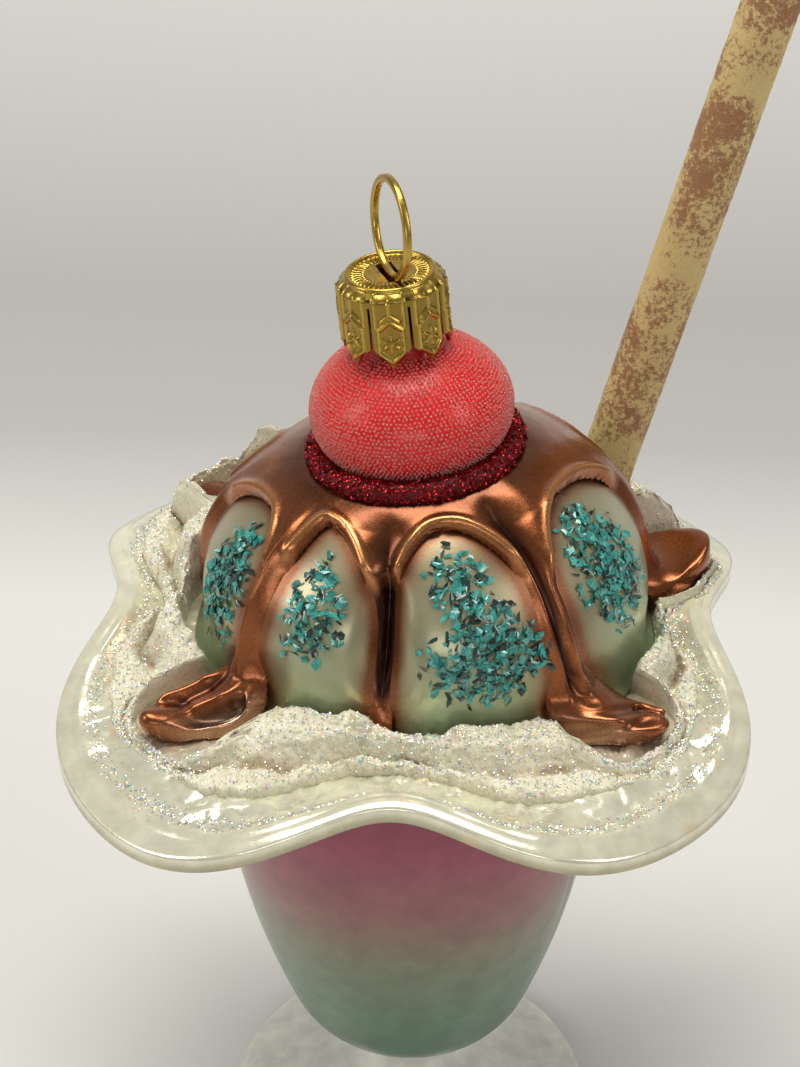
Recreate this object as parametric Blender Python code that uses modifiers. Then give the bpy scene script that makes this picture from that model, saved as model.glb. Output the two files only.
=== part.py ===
"""A blown-glass hanging ornament in the form of an ice cream sundae.

A footed glass dish with a four-lobed wavy lip holds a dome of ice cream under running syrup,
a ring of whipped cream, a cherry in a glitter collar, the metal ornament cap with its hanging
ring, and a wafer straw. Frame: +Z up, front towards -Y, origin at the middle of the foot's
underside. Angles are counted from the front, towards +X.
"""

import math

import bmesh
import bpy
from mathutils import Matrix, Vector

MM = 0.001
TURN = 2 * math.pi
GAP = 0.3 * MM

# Foot, stem and bowl of the dish: radius and height up the outside, in circles.
FOOT_RADIUS = 26.6 * MM
STEM_RADIUS = 5.6 * MM
BOWL_FLOOR = 20.0 * MM
BOWL_TOP = 80.0 * MM
BOWL_TOP_RADIUS = 27.2 * MM
BOWL_KNOB_RADIUS = 6.8 * MM
BOWL_HIP_RADIUS = 14.6 * MM
BOWL_HIP_RISE = 8.5 * MM
FLUTE_DEPTH = 0.9 * MM

# The lip: four drooping lobes on the diagonals, four raised pinches between them.
LIP_RADIUS = 46.0 * MM
LIP_LOBE = 5.3 * MM
LIP_SHARPEN = 1.28 * MM
LIP_HEIGHT = 89.5 * MM
LIP_DROOP = 3.83 * MM
LIP_STRETCH = 1.066
LIP_THICKNESS = 3.0 * MM
LIP_DENT_ANGLE = math.radians(38)
LIP_DENT_SPREAD = math.radians(24)
LIP_DENT_RISE = 1.8 * MM
LIP_DENT_DEPTH = 0.8 * MM
SHELF_HEIGHT = 90.0 * MM
SHELF_SHARE = 0.80

# The ice cream: a superellipse of revolution with a bulge between each two ribs of syrup.
DOME_RADIUS_X = 28.2 * MM
DOME_RADIUS_Y = 26.6 * MM
DOME_WAIST = 95.5 * MM
DOME_RISE = 22.6 * MM
DOME_POWER = 2.23
DOME_SHIFT = 1.8 * MM
CROWN_RADIUS = 13.9 * MM
PANEL_BULGE = 1.3 * MM

# Syrup: the angle of each rib, the angle and the reach of its end, and the rib's half width.
RIBS = (
    {"angle": -135, "end_angle": -130, "reach": 42.0, "half_width": 3.6, "ridge": 0.7},
    {"angle": -97, "end_angle": -97, "reach": 28.4, "half_width": 3.0, "ridge": 0.7},
    {"angle": -46, "end_angle": -49.4, "reach": 40.2, "half_width": 2.2, "ridge": 0.9},
    {"angle": -8.5, "end_angle": -8.5, "reach": 27.2, "half_width": 1.5, "ridge": -1.2},
    {"angle": 38, "end_angle": 49.5, "reach": 39.0, "half_width": 2.7, "ridge": 0.9},
    {"angle": 108, "end_angle": 112, "reach": 38.6, "half_width": 4.0, "ridge": 0.8},
    {"angle": 165, "end_angle": 165, "reach": 28.0, "half_width": 3.0, "ridge": 0.7},
)
# Each panel right of its rib: how far down the dome its arch starts, where across the panel its
# top is, and how far down its sides have drawn together.
PANELS = (
    {"start": 0.30, "apex": 0.50, "arch": 0.42},
    {"start": 0.22, "apex": 0.61, "arch": 0.35},
    {"start": 0.13, "apex": 0.32, "arch": 0.58},
    {"start": 0.115, "apex": 0.47, "arch": 0.38},
    {"start": 0.18, "apex": 0.42, "arch": 0.33},
    {"start": 0.30, "apex": 0.50, "arch": 0.42},
    {"start": 0.30, "apex": 0.50, "arch": 0.42},
)
SYRUP_GAP = 0.80 * MM
SYRUP_THICKNESS = 0.9 * MM
LEG_THICKNESS = 3.2 * MM
LEG_HALF_WIDTH = 4.3 * MM
BEND_START = 0.6
SHELF_RUN = 15.0 * MM

# Whipped cream: a lumpy band round the dome, drawn back where a leg of syrup reaches it.
CREAM_LIP_SHARE = 0.86
CREAM_MOST_SHARE = 0.97
CREAM_LEAST_WIDTH = 1.8 * MM
CREAM_HEIGHT = 5.6 * MM
CREAM_BACK_LIFT = 5.4 * MM
CREAM_NOTCH = math.radians(13.5)
SHIN_FALL = 1.35
CREAM_CLEARANCE = 2.6 * MM
CREAM_GAP = 0.7 * MM

# Cherry, collar, cap and ring lean together to the left.
CROWN_HEIGHT = 116.2 * MM
CROWN_SHIFT = 0.6 * MM
LEAN = math.radians(-5.4)
CHERRY_RADIUS = 12.6 * MM
CHERRY_HALF_HEIGHT = 9.1 * MM
CHERRY_CENTRE = 7.2 * MM
NECK_RADIUS = 3.8 * MM
NECK_TOP = 22.6 * MM
COLLAR_RADIUS = 13.3 * MM
CAP_SHIFT = -0.9 * MM
CAP_TOP = 25.9 * MM
CAP_RADIUS = 5.5 * MM
SKIRT_RADIUS = 6.55 * MM
SKIRT_WALL = 0.45 * MM
LAPPET_COUNT = 8
LAPPET_TIP = 15.9 * MM
LAPPET_CORNER = 18.2 * MM
SLOT_TOP = 24.0 * MM
SLOT_HALF_WIDTH = 0.32 * MM
RING_RADIUS = 5.95 * MM
RING_WIRE = 0.45 * MM
RING_TURN = math.radians(113)
RING_LEAN = math.radians(6.5)
RING_RISE = 5.6 * MM
CAP_HOLE_WIDTH = 2.0 * MM
CAP_HOLE_LENGTH = 7.2 * MM

# Straw: its foot stands in a socket in the cream at the back right.
STRAW_RADIUS = 3.75 * MM
STRAW_BORE = 2.6 * MM
STRAW_BORE_DEPTH = 3.0 * MM
STRAW_LENGTH = 80.0 * MM
STRAW_FOOT = Vector((24.0 * MM, 23.3 * MM, 94.6 * MM))
STRAW_AXIS = Vector((0.26, 0.10, 0.96)).normalized()


def clear_scene():
    for obj in list(bpy.data.objects):
        bpy.data.objects.remove(obj, do_unlink=True)


def smooth_step(value):
    value = min(max(value, 0.0), 1.0)
    return value * value * (3 - 2 * value)


def near(angle, centre, spread):
    """1 at the centre angle, easing to 0 on both sides."""
    distance = (angle - centre + math.pi) % TURN - math.pi
    return math.exp(-((distance / spread) ** 2))


def polar(radius, angle, height):
    return Vector((radius * math.sin(angle), -radius * math.cos(angle), height))


def new_collection(name, hidden=False):
    collection = bpy.data.collections.new(name)
    bpy.context.scene.collection.children.link(collection)
    collection.hide_render = hidden
    return collection


def new_material(name, colour, roughness, metallic=0.0):
    material = bpy.data.materials.new(name)
    material.use_nodes = True
    shader = material.node_tree.nodes["Principled BSDF"]
    shader.inputs["Base Color"].default_value = (*colour, 1.0)
    shader.inputs["Roughness"].default_value = roughness
    shader.inputs["Metallic"].default_value = metallic
    return material


def object_from_bmesh(bm, name, collection, material, sharp_angle=40):
    bmesh.ops.recalc_face_normals(bm, faces=bm.faces)
    if bm.calc_volume(signed=True) < 0:
        bmesh.ops.reverse_faces(bm, faces=bm.faces)
    mesh = bpy.data.meshes.new(name)
    bm.to_mesh(mesh)
    bm.free()
    mesh.shade_smooth()
    mesh.set_sharp_from_angle(angle=math.radians(sharp_angle))
    obj = bpy.data.objects.new(name, mesh)
    obj.data.materials.append(material)
    collection.objects.link(obj)
    return obj


def loft(bm, rows):
    """Closed skin through rings of points that run round the same way, its two ends filled."""
    rings = [[bm.verts.new(point) for point in row] for row in rows]
    for lower, upper in zip(rings, rings[1:]):
        for i in range(len(lower)):
            j = (i + 1) % len(lower)
            bm.faces.new((lower[i], lower[j], upper[j], upper[i]))
    bm.faces.new(rings[0])
    bm.faces.new(rings[-1])


def turned(name, profile, collection, material, steps):
    """A profile of (radius, height) points, from top to bottom, turned about Z."""
    mesh = bpy.data.meshes.new(name)
    points = [(radius, 0.0, height) for radius, height in profile]
    edges = [(i, i + 1) for i in range(len(points) - 1)]
    if profile[0][0] > 0:
        edges.append((len(points) - 1, 0))
    mesh.from_pydata(points, edges, [])
    obj = bpy.data.objects.new(name, mesh)
    obj.data.materials.append(material)
    collection.objects.link(obj)
    screw = obj.modifiers.new("turn", "SCREW")
    screw.steps = steps
    screw.render_steps = steps
    screw.use_merge_vertices = True
    screw.merge_threshold = 0.00001
    screw.use_smooth_shade = True
    return obj


def cut(obj, cutter):
    boolean = obj.modifiers.new("cut_" + cutter.name, "BOOLEAN")
    boolean.operation = "DIFFERENCE"
    boolean.solver = "EXACT"
    boolean.object = cutter


def hide_as_cutter(obj):
    obj.hide_render = True
    obj.display_type = "WIRE"


# The dish


def lobe_wave(angle):
    return math.cos(4 * (angle - math.pi / 4))


def lip_radius(angle):
    even = LIP_RADIUS + LIP_LOBE * lobe_wave(angle) - LIP_SHARPEN * math.cos(8 * angle)
    return even - LIP_DENT_DEPTH * near(angle, LIP_DENT_ANGLE, LIP_DENT_SPREAD)


def lip_height(angle):
    even = LIP_HEIGHT - LIP_DROOP * lobe_wave(angle)
    return even + LIP_DENT_RISE * near(angle, LIP_DENT_ANGLE, LIP_DENT_SPREAD)


def lip_point(share, angle, height):
    point = polar(share * lip_radius(angle), angle, height)
    point.y *= LIP_STRETCH
    return point


def dish_top(x, y):
    """Height of the dish's upper face: a level shelf that runs out into the wavy lip."""
    angle = math.atan2(x, -y / LIP_STRETCH)
    share = math.hypot(x, y / LIP_STRETCH) / lip_radius(angle)
    run_out = smooth_step((share - SHELF_SHARE) / (1 - SHELF_SHARE))
    return SHELF_HEIGHT + (lip_height(angle) - SHELF_HEIGHT) * run_out


def bowl_point(radius, angle, height):
    """A point of the bowl's wall, which takes up the lip's flutes and stretch as it rises."""
    share = smooth_step((height - BOWL_FLOOR) / (BOWL_TOP - BOWL_FLOOR))
    point = polar(radius + FLUTE_DEPTH * share * lobe_wave(angle), angle, height)
    point.y *= 1 + (LIP_STRETCH - 1) * share
    return point


def bowl_radius(height):
    """A round bottom that eases into a nearly straight, slightly flaring wall."""
    rise = (height - BOWL_FLOOR) / (BOWL_TOP - BOWL_FLOOR)
    hip = 1 - min((height - BOWL_FLOOR) / BOWL_HIP_RISE, 1.0)
    bottom = (BOWL_HIP_RADIUS - BOWL_KNOB_RADIUS) * math.sqrt(1 - hip * hip)
    wall = (BOWL_TOP_RADIUS - BOWL_HIP_RADIUS) * (1 - (1 - rise) ** 2)
    return BOWL_KNOB_RADIUS + bottom + wall


def make_dish(collection, material):
    angles = [TURN * i / 56 for i in range(56)]
    foot = (
        (0.90 * FOOT_RADIUS, 0.0),
        (0.985 * FOOT_RADIUS, 0.5 * MM),
        (FOOT_RADIUS, 1.5 * MM),
        (0.965 * FOOT_RADIUS, 2.6 * MM),
        (0.62 * FOOT_RADIUS, 4.6 * MM),
        (0.33 * FOOT_RADIUS, 8.0 * MM),
        (STEM_RADIUS, 12.0 * MM),
        (BOWL_KNOB_RADIUS, 15.5 * MM),
        (1.05 * BOWL_KNOB_RADIUS, 18.0 * MM),
    )
    rows = [[polar(radius, angle, height) for angle in angles] for radius, height in foot]
    for rise in (0.0, 0.03, 0.10, 0.22, 0.42, 0.70, 1.0):
        height = BOWL_FLOOR + (BOWL_TOP - BOWL_FLOOR) * rise
        rows.append([bowl_point(bowl_radius(height), angle, height) for angle in angles])
    for sweep in (0.33, 0.67, 1.0):
        turn = sweep * math.pi / 2
        row = []
        for angle in angles:
            wall = bowl_point(BOWL_TOP_RADIUS, angle, BOWL_TOP)
            edge = lip_point(0.955, angle, lip_height(angle) - LIP_THICKNESS)
            out = wall.lerp(edge, 1 - math.cos(turn))
            out.z = wall.z + (edge.z - wall.z) * math.sin(turn)
            row.append(out)
        rows.append(row)
    rows.append([lip_point(1.0, a, lip_height(a) - 0.55 * LIP_THICKNESS) for a in angles])
    for share in (0.985, 0.95, 0.90, 0.85, SHELF_SHARE, 0.45):
        row = [lip_point(share, angle, 0) for angle in angles]
        for point in row:
            point.z = dish_top(point.x, point.y)
        rows.append(row)
    bm = bmesh.new()
    loft(bm, rows)
    return object_from_bmesh(bm, "glass_dish", collection, material, 60)


# The dome of ice cream


def rib_angle(index):
    turns, place = divmod(index, len(RIBS))
    return math.radians(RIBS[place]["angle"]) + TURN * turns


def apex_angle(index):
    """Angle of the top of the arch over the panel right of this rib."""
    left = rib_angle(index)
    return left + (rib_angle(index + 1) - left) * PANELS[index]["apex"]


def dome_point(angle, fall, lift=0.0):
    """Point of the dome's side: fall is 0 at the crown's edge and 1 at the waist."""
    crown_turn = math.asin((CROWN_RADIUS / DOME_RADIUS_X) ** (DOME_POWER / 2))
    turn = crown_turn + (math.pi / 2 - crown_turn) * min(fall, 1.0)
    out = math.sin(turn) ** (2 / DOME_POWER)
    up = max(math.cos(turn), 0.0) ** (2 / DOME_POWER)
    swell = PANEL_BULGE * panel_wave(angle) * math.sin(math.pi * min(fall, 1.0) ** 1.3 * 0.72)
    radius_x = DOME_RADIUS_X * out + swell + lift * out
    radius_y = DOME_RADIUS_Y * out + swell + lift * out
    shift = DOME_SHIFT * (1 - (up / 0.92) ** 5)
    height = DOME_WAIST + (DOME_RISE + lift) * up
    height += math.sin(LEAN) * -radius_x * math.sin(angle) * max(1 - fall, 0.0) ** 2
    return Vector((radius_x * math.sin(angle) + shift, -radius_y * math.cos(angle), height))


def panel_wave(angle):
    """1 in the middle of a panel, and at a rib its ridge, or for a groove a negative value."""
    first = rib_angle(0)
    angle = (angle - first) % TURN + first
    for i in range(len(RIBS)):
        left = rib_angle(i)
        right = rib_angle(i + 1)
        if left <= angle <= right:
            middle = math.sin(math.pi * (angle - left) / (right - left))
            ridge_left = RIBS[i]["ridge"]
            ridge_right = RIBS[(i + 1) % len(RIBS)]["ridge"]
            ridge = ridge_left if angle - left < right - angle else ridge_right
            return middle + ridge * (1 - middle) ** 2
    return 0.0


def dome_angles(per_panel):
    angles = []
    for i in range(len(RIBS)):
        left = rib_angle(i)
        width = rib_angle(i + 1) - left
        angles += [left + width * j / per_panel for j in range(per_panel)]
    return angles


def make_ice_cream(collection, material):
    angles = dome_angles(7)
    rows = []
    for drop in (4.9 * MM, 2.4 * MM):
        waist = [dome_point(angle, 1.0) for angle in angles]
        rows.append([Vector((p.x, p.y, p.z - drop)) for p in waist])
    for i in range(8):
        rows.append([dome_point(angle, 1 - i / 7) for angle in angles])
    bm = bmesh.new()
    loft(bm, rows)
    return object_from_bmesh(bm, "ice_cream", collection, material, 50)


# The syrup


def flow_point(angle, fall, lift):
    """The dome's side down to its waist, then the dish's shelf, as one continuous surface."""
    if fall <= 1.0:
        return dome_point(angle, fall, lift)
    waist = dome_point(angle, 1.0, lift)
    run = SHELF_RUN * (fall - 1) ** 1.25
    out = Vector((waist.x, waist.y, 0)).normalized()
    point = waist + out * run
    foot = dish_top(point.x, point.y) + lift
    point.z = foot + (waist.z - foot) * math.exp(-run / (1.5 * MM))
    return point


def rib_end_fall(rib):
    waist = dome_point(math.radians(rib["end_angle"]), 1.0)
    reach = max(rib["reach"] * MM - math.hypot(waist.x, waist.y), 0.0)
    return 1.0 + (reach / SHELF_RUN) ** 0.8


def middle_angle(rib, fall):
    """Angle of the rib's middle line, which bends towards the end of its leg."""
    turn = smooth_step((fall - BEND_START) / (rib_end_fall(rib) - BEND_START))
    return math.radians(rib["angle"] + (rib["end_angle"] - rib["angle"]) * turn)


def half_width_at(rib, fall, room, panel):
    """Half the rib's angle: all the room at the arches' tops, narrow below, wide on the shelf."""
    radius = DOME_RADIUS_X + SHELF_RUN * max(fall - 1, 0.0) ** 1.25
    narrow = rib["half_width"] * MM / radius
    if rib_end_fall(rib) > 1.3:
        foot = LEG_HALF_WIDTH / radius
        narrow += (foot - narrow) * smooth_step((fall - 0.86) / 0.3)
    opening = min(max((fall - panel["start"]) / panel["arch"], 0.0), 1.0)
    arch = math.sqrt(max(1 - (1 - opening) ** 2, 0.0))
    return room + (narrow - room) * arch


def tongue(index, columns, rows):
    """Grid of points of one rib, from the arches' tops down to the tip of its leg."""
    rib = RIBS[index]
    centre = rib_angle(index)
    end = rib_end_fall(rib)
    rooms = (centre - apex_angle(index - 1), apex_angle(index) - centre)
    panels = (PANELS[index - 1], PANELS[index])
    grid = []
    for j in range(rows + 1):
        share = j / rows
        line = []
        for i in range(columns + 1):
            side = 2 * i / columns - 1
            rounded = 1 - (0.19 if end > 1.3 else 0.04) * side ** 2
            rise = panels[1]["start"] - panels[0]["start"]
            start = panels[0]["start"] + rise * smooth_step((side + 1) / 2)
            fall = start + (end * rounded - start) * share ** 0.85
            right = side > 0
            width = half_width_at(rib, fall, rooms[right], panels[right])
            line.append((middle_angle(rib, fall) + side * width, fall, side))
        grid.append(line)
    return grid


def syrup_lift(fall, side, end):
    """Thickness of the syrup: thin on the dome, a rounded mound in a leg on the shelf."""
    if fall <= 0.9 or end < 1.3:
        return SYRUP_THICKNESS
    mound = smooth_step((fall - 0.9) / 0.25) * (1 - 0.9 * side * side)
    tip = math.sqrt(max(1 - (max(fall - 1.0, 0.0) / (end - 1.0)) ** 4, 0.0))
    return SYRUP_THICKNESS + (LEG_THICKNESS - SYRUP_THICKNESS) * mound * tip


def make_syrup(collection, material):
    columns = 6
    rows = 9
    cap_rows = 3
    bm = bmesh.new()
    layers = []
    grids = [tongue(index, columns, rows) for index in range(len(RIBS))]
    for outer in (False, True):
        tongues = []
        for index, grid in enumerate(grids):
            end = rib_end_fall(RIBS[index])
            verts = []
            for line in grid:
                row = []
                for angle, fall, side in line:
                    lift = syrup_lift(fall, side, end) if outer else 0.0
                    row.append(bm.verts.new(flow_point(angle, fall, SYRUP_GAP + lift)))
                verts.append(row)
            tongues.append(verts)
        for index, verts in enumerate(tongues):
            following = tongues[(index + 1) % len(tongues)]
            bm.verts.remove(following[0][0])
            following[0][0] = verts[0][-1]
        cap = []
        for j in range(cap_rows):
            row = []
            for grid in grids:
                for angle, start, _ in grid[0][:-1]:
                    lift = SYRUP_GAP + (SYRUP_THICKNESS if outer else 0.0)
                    fall = start * j / cap_rows
                    row.append(bm.verts.new(flow_point(angle, fall, lift)))
            cap.append(row)
        cap.append([vert for verts in tongues for vert in verts[0][:-1]])
        for upper, lower in zip(cap, cap[1:]):
            for i in range(len(upper)):
                j = (i + 1) % len(upper)
                bm.faces.new((upper[i], upper[j], lower[j], lower[i]))
        for verts in tongues:
            for upper, lower in zip(verts, verts[1:]):
                for i in range(columns):
                    bm.faces.new((upper[i], upper[i + 1], lower[i + 1], lower[i]))
        layers.append((cap, tongues))
    (inner_cap, inner), (outer_cap, outer_tongues) = layers
    for i in range(len(inner_cap[0])):
        j = (i + 1) % len(inner_cap[0])
        wall = (inner_cap[0][i], inner_cap[0][j], outer_cap[0][j], outer_cap[0][i])
        bm.faces.new(wall)
    for low, high in zip(inner, outer_tongues):
        low_edge = outline(low)
        high_edge = outline(high)
        for i in range(len(low_edge) - 1):
            bm.faces.new((low_edge[i], low_edge[i + 1], high_edge[i + 1], high_edge[i]))
    return object_from_bmesh(bm, "syrup", collection, material, 50)


def outline(verts):
    """The free edge of a tongue: down its left side, along its tip and up its right side."""
    left = [row[0] for row in verts]
    right = [row[-1] for row in verts]
    return left + verts[-1][1:-1] + right[::-1]


# The whipped cream


def cream_edges(angle):
    """Inner and outer radius of the band at this angle."""
    rim = lip_point(1.0, angle, 0)
    outer = CREAM_LIP_SHARE * math.hypot(rim.x, rim.y)
    outer -= 3.0 * MM * near(angle, 0.0, math.radians(34))
    outer -= 2.6 * MM * near(angle, math.radians(128), math.radians(26))
    dome = dome_point(angle, 1.0)
    inner = math.hypot(dome.x, dome.y) + 1.0 * MM
    inner += 3.2 * MM * near(angle, math.radians(-82), math.radians(22))
    inner += 1.6 * MM * near(angle, math.radians(82), math.radians(20))
    for rib in RIBS:
        if rib_end_fall(rib) < 1.3:
            inner += 2.8 * MM * near(angle, math.radians(rib["angle"]), math.radians(10))
            continue
        tip = flow_point(math.radians(rib["end_angle"]), rib_end_fall(rib), 0.0)
        reach = math.hypot(tip.x, tip.y) + CREAM_CLEARANCE
        shin = flow_point(middle_angle(rib, SHIN_FALL), SHIN_FALL, 0.0)
        distance = (angle - math.atan2(shin.x, -shin.y) + math.pi) % TURN - math.pi
        notch = max(1 - (distance / CREAM_NOTCH) ** 4, 0.0) ** 0.5
        inner = inner + (reach - inner) * notch
        outer = max(outer, inner + 2.4 * MM * notch)
    lumps = 0.5 * math.sin(9 * angle + 0.6) + 0.4 * math.sin(14 * angle + 2.1)
    outer = min(outer + lumps * MM, CREAM_MOST_SHARE * math.hypot(rim.x, rim.y))
    return min(inner, outer - CREAM_LEAST_WIDTH), outer


def make_cream(collection, material):
    bm = bmesh.new()
    section = (
        (0.00, 0.00),
        (0.00, 0.55),
        (0.10, 0.90),
        (0.28, 1.00),
        (0.48, 0.86),
        (0.64, 0.62),
        (0.84, 0.50),
        (0.97, 0.28),
        (1.00, 0.00),
        (0.75, 0.00),
        (0.50, 0.00),
        (0.25, 0.00),
    )
    count = 56
    rings = []
    for i in range(count):
        angle = TURN * i / count
        inner, outer = cream_edges(angle)
        back = (1 - math.cos(angle)) / 2
        height = CREAM_HEIGHT + CREAM_BACK_LIFT * back ** 1.2
        height *= 1 + 0.10 * math.sin(11 * angle) + 0.08 * math.sin(17 * angle + 1)
        ring = []
        for share, rise in section:
            point = polar(inner + (outer - inner) * share, angle, 0)
            point.z = dish_top(point.x, point.y) + CREAM_GAP + rise * height
            ring.append(bm.verts.new(point))
        rings.append(ring)
    for i in range(count):
        this = rings[i]
        following = rings[(i + 1) % count]
        for j in range(len(section)):
            k = (j + 1) % len(section)
            bm.faces.new((this[j], this[k], following[k], following[j]))
    return object_from_bmesh(bm, "whipped_cream", collection, material, 60)


# Cherry, collar, cap and ring, modelled upright on the crown and leaned as one


def crown_empty():
    empty = bpy.data.objects.new("crown_lean", None)
    empty.location = (CROWN_SHIFT, 0, CROWN_HEIGHT)
    empty.rotation_euler = (0, LEAN, 0)
    bpy.context.scene.collection.objects.link(empty)
    return empty


def cherry_radius(height):
    rise = (height - CHERRY_CENTRE) / CHERRY_HALF_HEIGHT
    return CHERRY_RADIUS * math.sqrt(max(1 - rise * rise, 0.0))


def make_cherry(collection, material):
    profile = [(0.0, NECK_TOP), (NECK_RADIUS, NECK_TOP)]
    steps = 10
    top_turn = math.asin(NECK_RADIUS / CHERRY_RADIUS)
    bottom_turn = math.acos((GAP - CHERRY_CENTRE) / CHERRY_HALF_HEIGHT)
    for i in range(steps + 1):
        turn = top_turn + (bottom_turn - top_turn) * i / steps
        height = CHERRY_CENTRE + CHERRY_HALF_HEIGHT * math.cos(turn)
        profile.append((cherry_radius(height), height))
    profile.append((0.0, GAP))
    return turned("cherry", profile, collection, material, 24)


def make_collar(collection, material):
    """A ring in the crease under the cherry: its inner side follows the cherry's curve."""
    low = 2 * GAP
    high = 3.0 * MM
    profile = []
    for i in range(4):
        turn = math.pi / 2 * i / 3
        radius = COLLAR_RADIUS - 1.3 * MM * (1 - math.sin(turn))
        profile.append((radius, high - (high - low - 0.4 * MM) * (1 - math.cos(turn))))
    profile.append((COLLAR_RADIUS - 0.5 * MM, low))
    for i in range(3):
        height = low + (high - low) * i / 2.3
        profile.append((cherry_radius(height) + 1.4 * GAP, height))
    return turned("glitter_collar", profile, collection, material, 28)


def lappet_edge(place):
    """Height of the skirt's lower edge across one lappet, place running from 0 to 1."""
    side = abs(2 * place - 1)
    shoulder = 0.42
    if side < shoulder:
        return LAPPET_TIP + (LAPPET_CORNER - LAPPET_TIP) * 0.55 * (side / shoulder)
    share = (side - shoulder) / (1 - shoulder)
    return LAPPET_TIP + (LAPPET_CORNER - LAPPET_TIP) * (0.55 + 0.45 * share)


def make_cap(collection, material, cutters):
    angles = []
    edges = []
    slot = SLOT_HALF_WIDTH / SKIRT_RADIUS
    step = TURN / LAPPET_COUNT
    for i in range(LAPPET_COUNT):
        start = step * (i - 0.5)
        angles += [start - slot, start + slot]
        edges += [SLOT_TOP, SLOT_TOP]
        for place in (0.0, 0.29, 0.5, 0.71, 1.0):
            angles.append(start + slot * 1.15 + (step - 2.3 * slot) * place)
            edges.append(lappet_edge(place))
    bm = bmesh.new()
    rows = []
    outer = (
        (0.90 * CAP_RADIUS, CAP_TOP),
        (0.97 * CAP_RADIUS, CAP_TOP + 0.25 * MM),
        (CAP_RADIUS + 0.1 * MM, CAP_TOP - 0.2 * MM),
        (SKIRT_RADIUS - 0.2 * MM, CAP_TOP - 1.1 * MM),
    )
    for radius, height in outer:
        rows.append([polar(radius, angle, height) for angle in angles])
    skirt_top = SLOT_TOP + 0.6 * MM
    inside = SKIRT_RADIUS - SKIRT_WALL
    for radius, drops in ((SKIRT_RADIUS, (0.0, 1.0)), (inside, (1.0, 0.0))):
        for drop in drops:
            heights = [skirt_top + (edge - skirt_top) * drop for edge in edges]
            rows.append([polar(radius, a, height) for a, height in zip(angles, heights)])
    for radius, height in (
        (CAP_RADIUS - SKIRT_WALL, CAP_TOP - 1.2 * MM),
        (0.90 * CAP_RADIUS, CAP_TOP - SKIRT_WALL),
    ):
        rows.append([polar(radius, angle, height) for angle in angles])
    loft(bm, rows)
    cap = object_from_bmesh(bm, "ornament_cap", collection, material, 35)
    cube = bmesh.new()
    bmesh.ops.create_cube(cube, size=1.0)
    size = (CAP_HOLE_LENGTH, CAP_HOLE_WIDTH, 3 * MM)
    bmesh.ops.scale(cube, vec=size, verts=cube.verts)
    bmesh.ops.rotate(cube, matrix=Matrix.Rotation(RING_TURN, 3, "Z"), verts=cube.verts)
    bmesh.ops.translate(cube, vec=(0, 0, CAP_TOP), verts=cube.verts)
    hole = object_from_bmesh(cube, "cap_hole", cutters, material)
    hide_as_cutter(hole)
    cut(cap, hole)
    return cap, hole


def make_ring(collection, material):
    """A wire ring standing on edge, leaning back from the cap, its lowest point in the slot."""
    bpy.ops.mesh.primitive_torus_add(
        major_radius=RING_RADIUS,
        minor_radius=RING_WIRE,
        major_segments=36,
        minor_segments=6,
    )
    ring = bpy.context.object
    ring.name = "hanging_ring"
    ring.data.name = "hanging_ring"
    for owner in list(ring.users_collection):
        owner.objects.unlink(ring)
    collection.objects.link(ring)
    ring.data.materials.append(material)
    ring.data.shade_smooth()
    lean = Matrix.Rotation(RING_LEAN, 3, "Y")
    turn = Matrix.Rotation(RING_TURN, 3, "Z")
    upright = Matrix.Rotation(math.pi / 2, 3, "X")
    ring.location = Vector((CAP_SHIFT, 0, CAP_TOP)) + lean @ Vector((0, 0, RING_RISE))
    ring.rotation_euler = (lean @ turn @ upright).to_euler()
    return ring


# The straw


def make_straw(collection, material):
    rounding = 0.2 * MM
    profile = (
        (0.0, STRAW_LENGTH - STRAW_BORE_DEPTH),
        (STRAW_BORE, STRAW_LENGTH - STRAW_BORE_DEPTH),
        (STRAW_BORE, STRAW_LENGTH),
        (STRAW_RADIUS - rounding, STRAW_LENGTH),
        (STRAW_RADIUS, STRAW_LENGTH - rounding),
        (STRAW_RADIUS, rounding),
        (STRAW_RADIUS - rounding, 0.0),
        (0.0, 0.0),
    )
    straw = turned("wafer_straw", profile, collection, material, 24)
    straw.location = STRAW_FOOT
    straw.rotation_euler = STRAW_AXIS.to_track_quat("Z", "Y").to_euler()
    return straw


def make_straw_socket(cutters, material):
    bm = bmesh.new()
    radius = STRAW_RADIUS + GAP
    bmesh.ops.create_cone(
        bm, cap_ends=True, segments=24, radius1=radius, radius2=radius, depth=20 * MM
    )
    bmesh.ops.translate(bm, vec=(0, 0, 10 * MM - GAP), verts=bm.verts)
    socket = object_from_bmesh(bm, "straw_socket", cutters, material)
    socket.location = STRAW_FOOT
    socket.rotation_euler = STRAW_AXIS.to_track_quat("Z", "Y").to_euler()
    hide_as_cutter(socket)
    return socket


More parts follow.
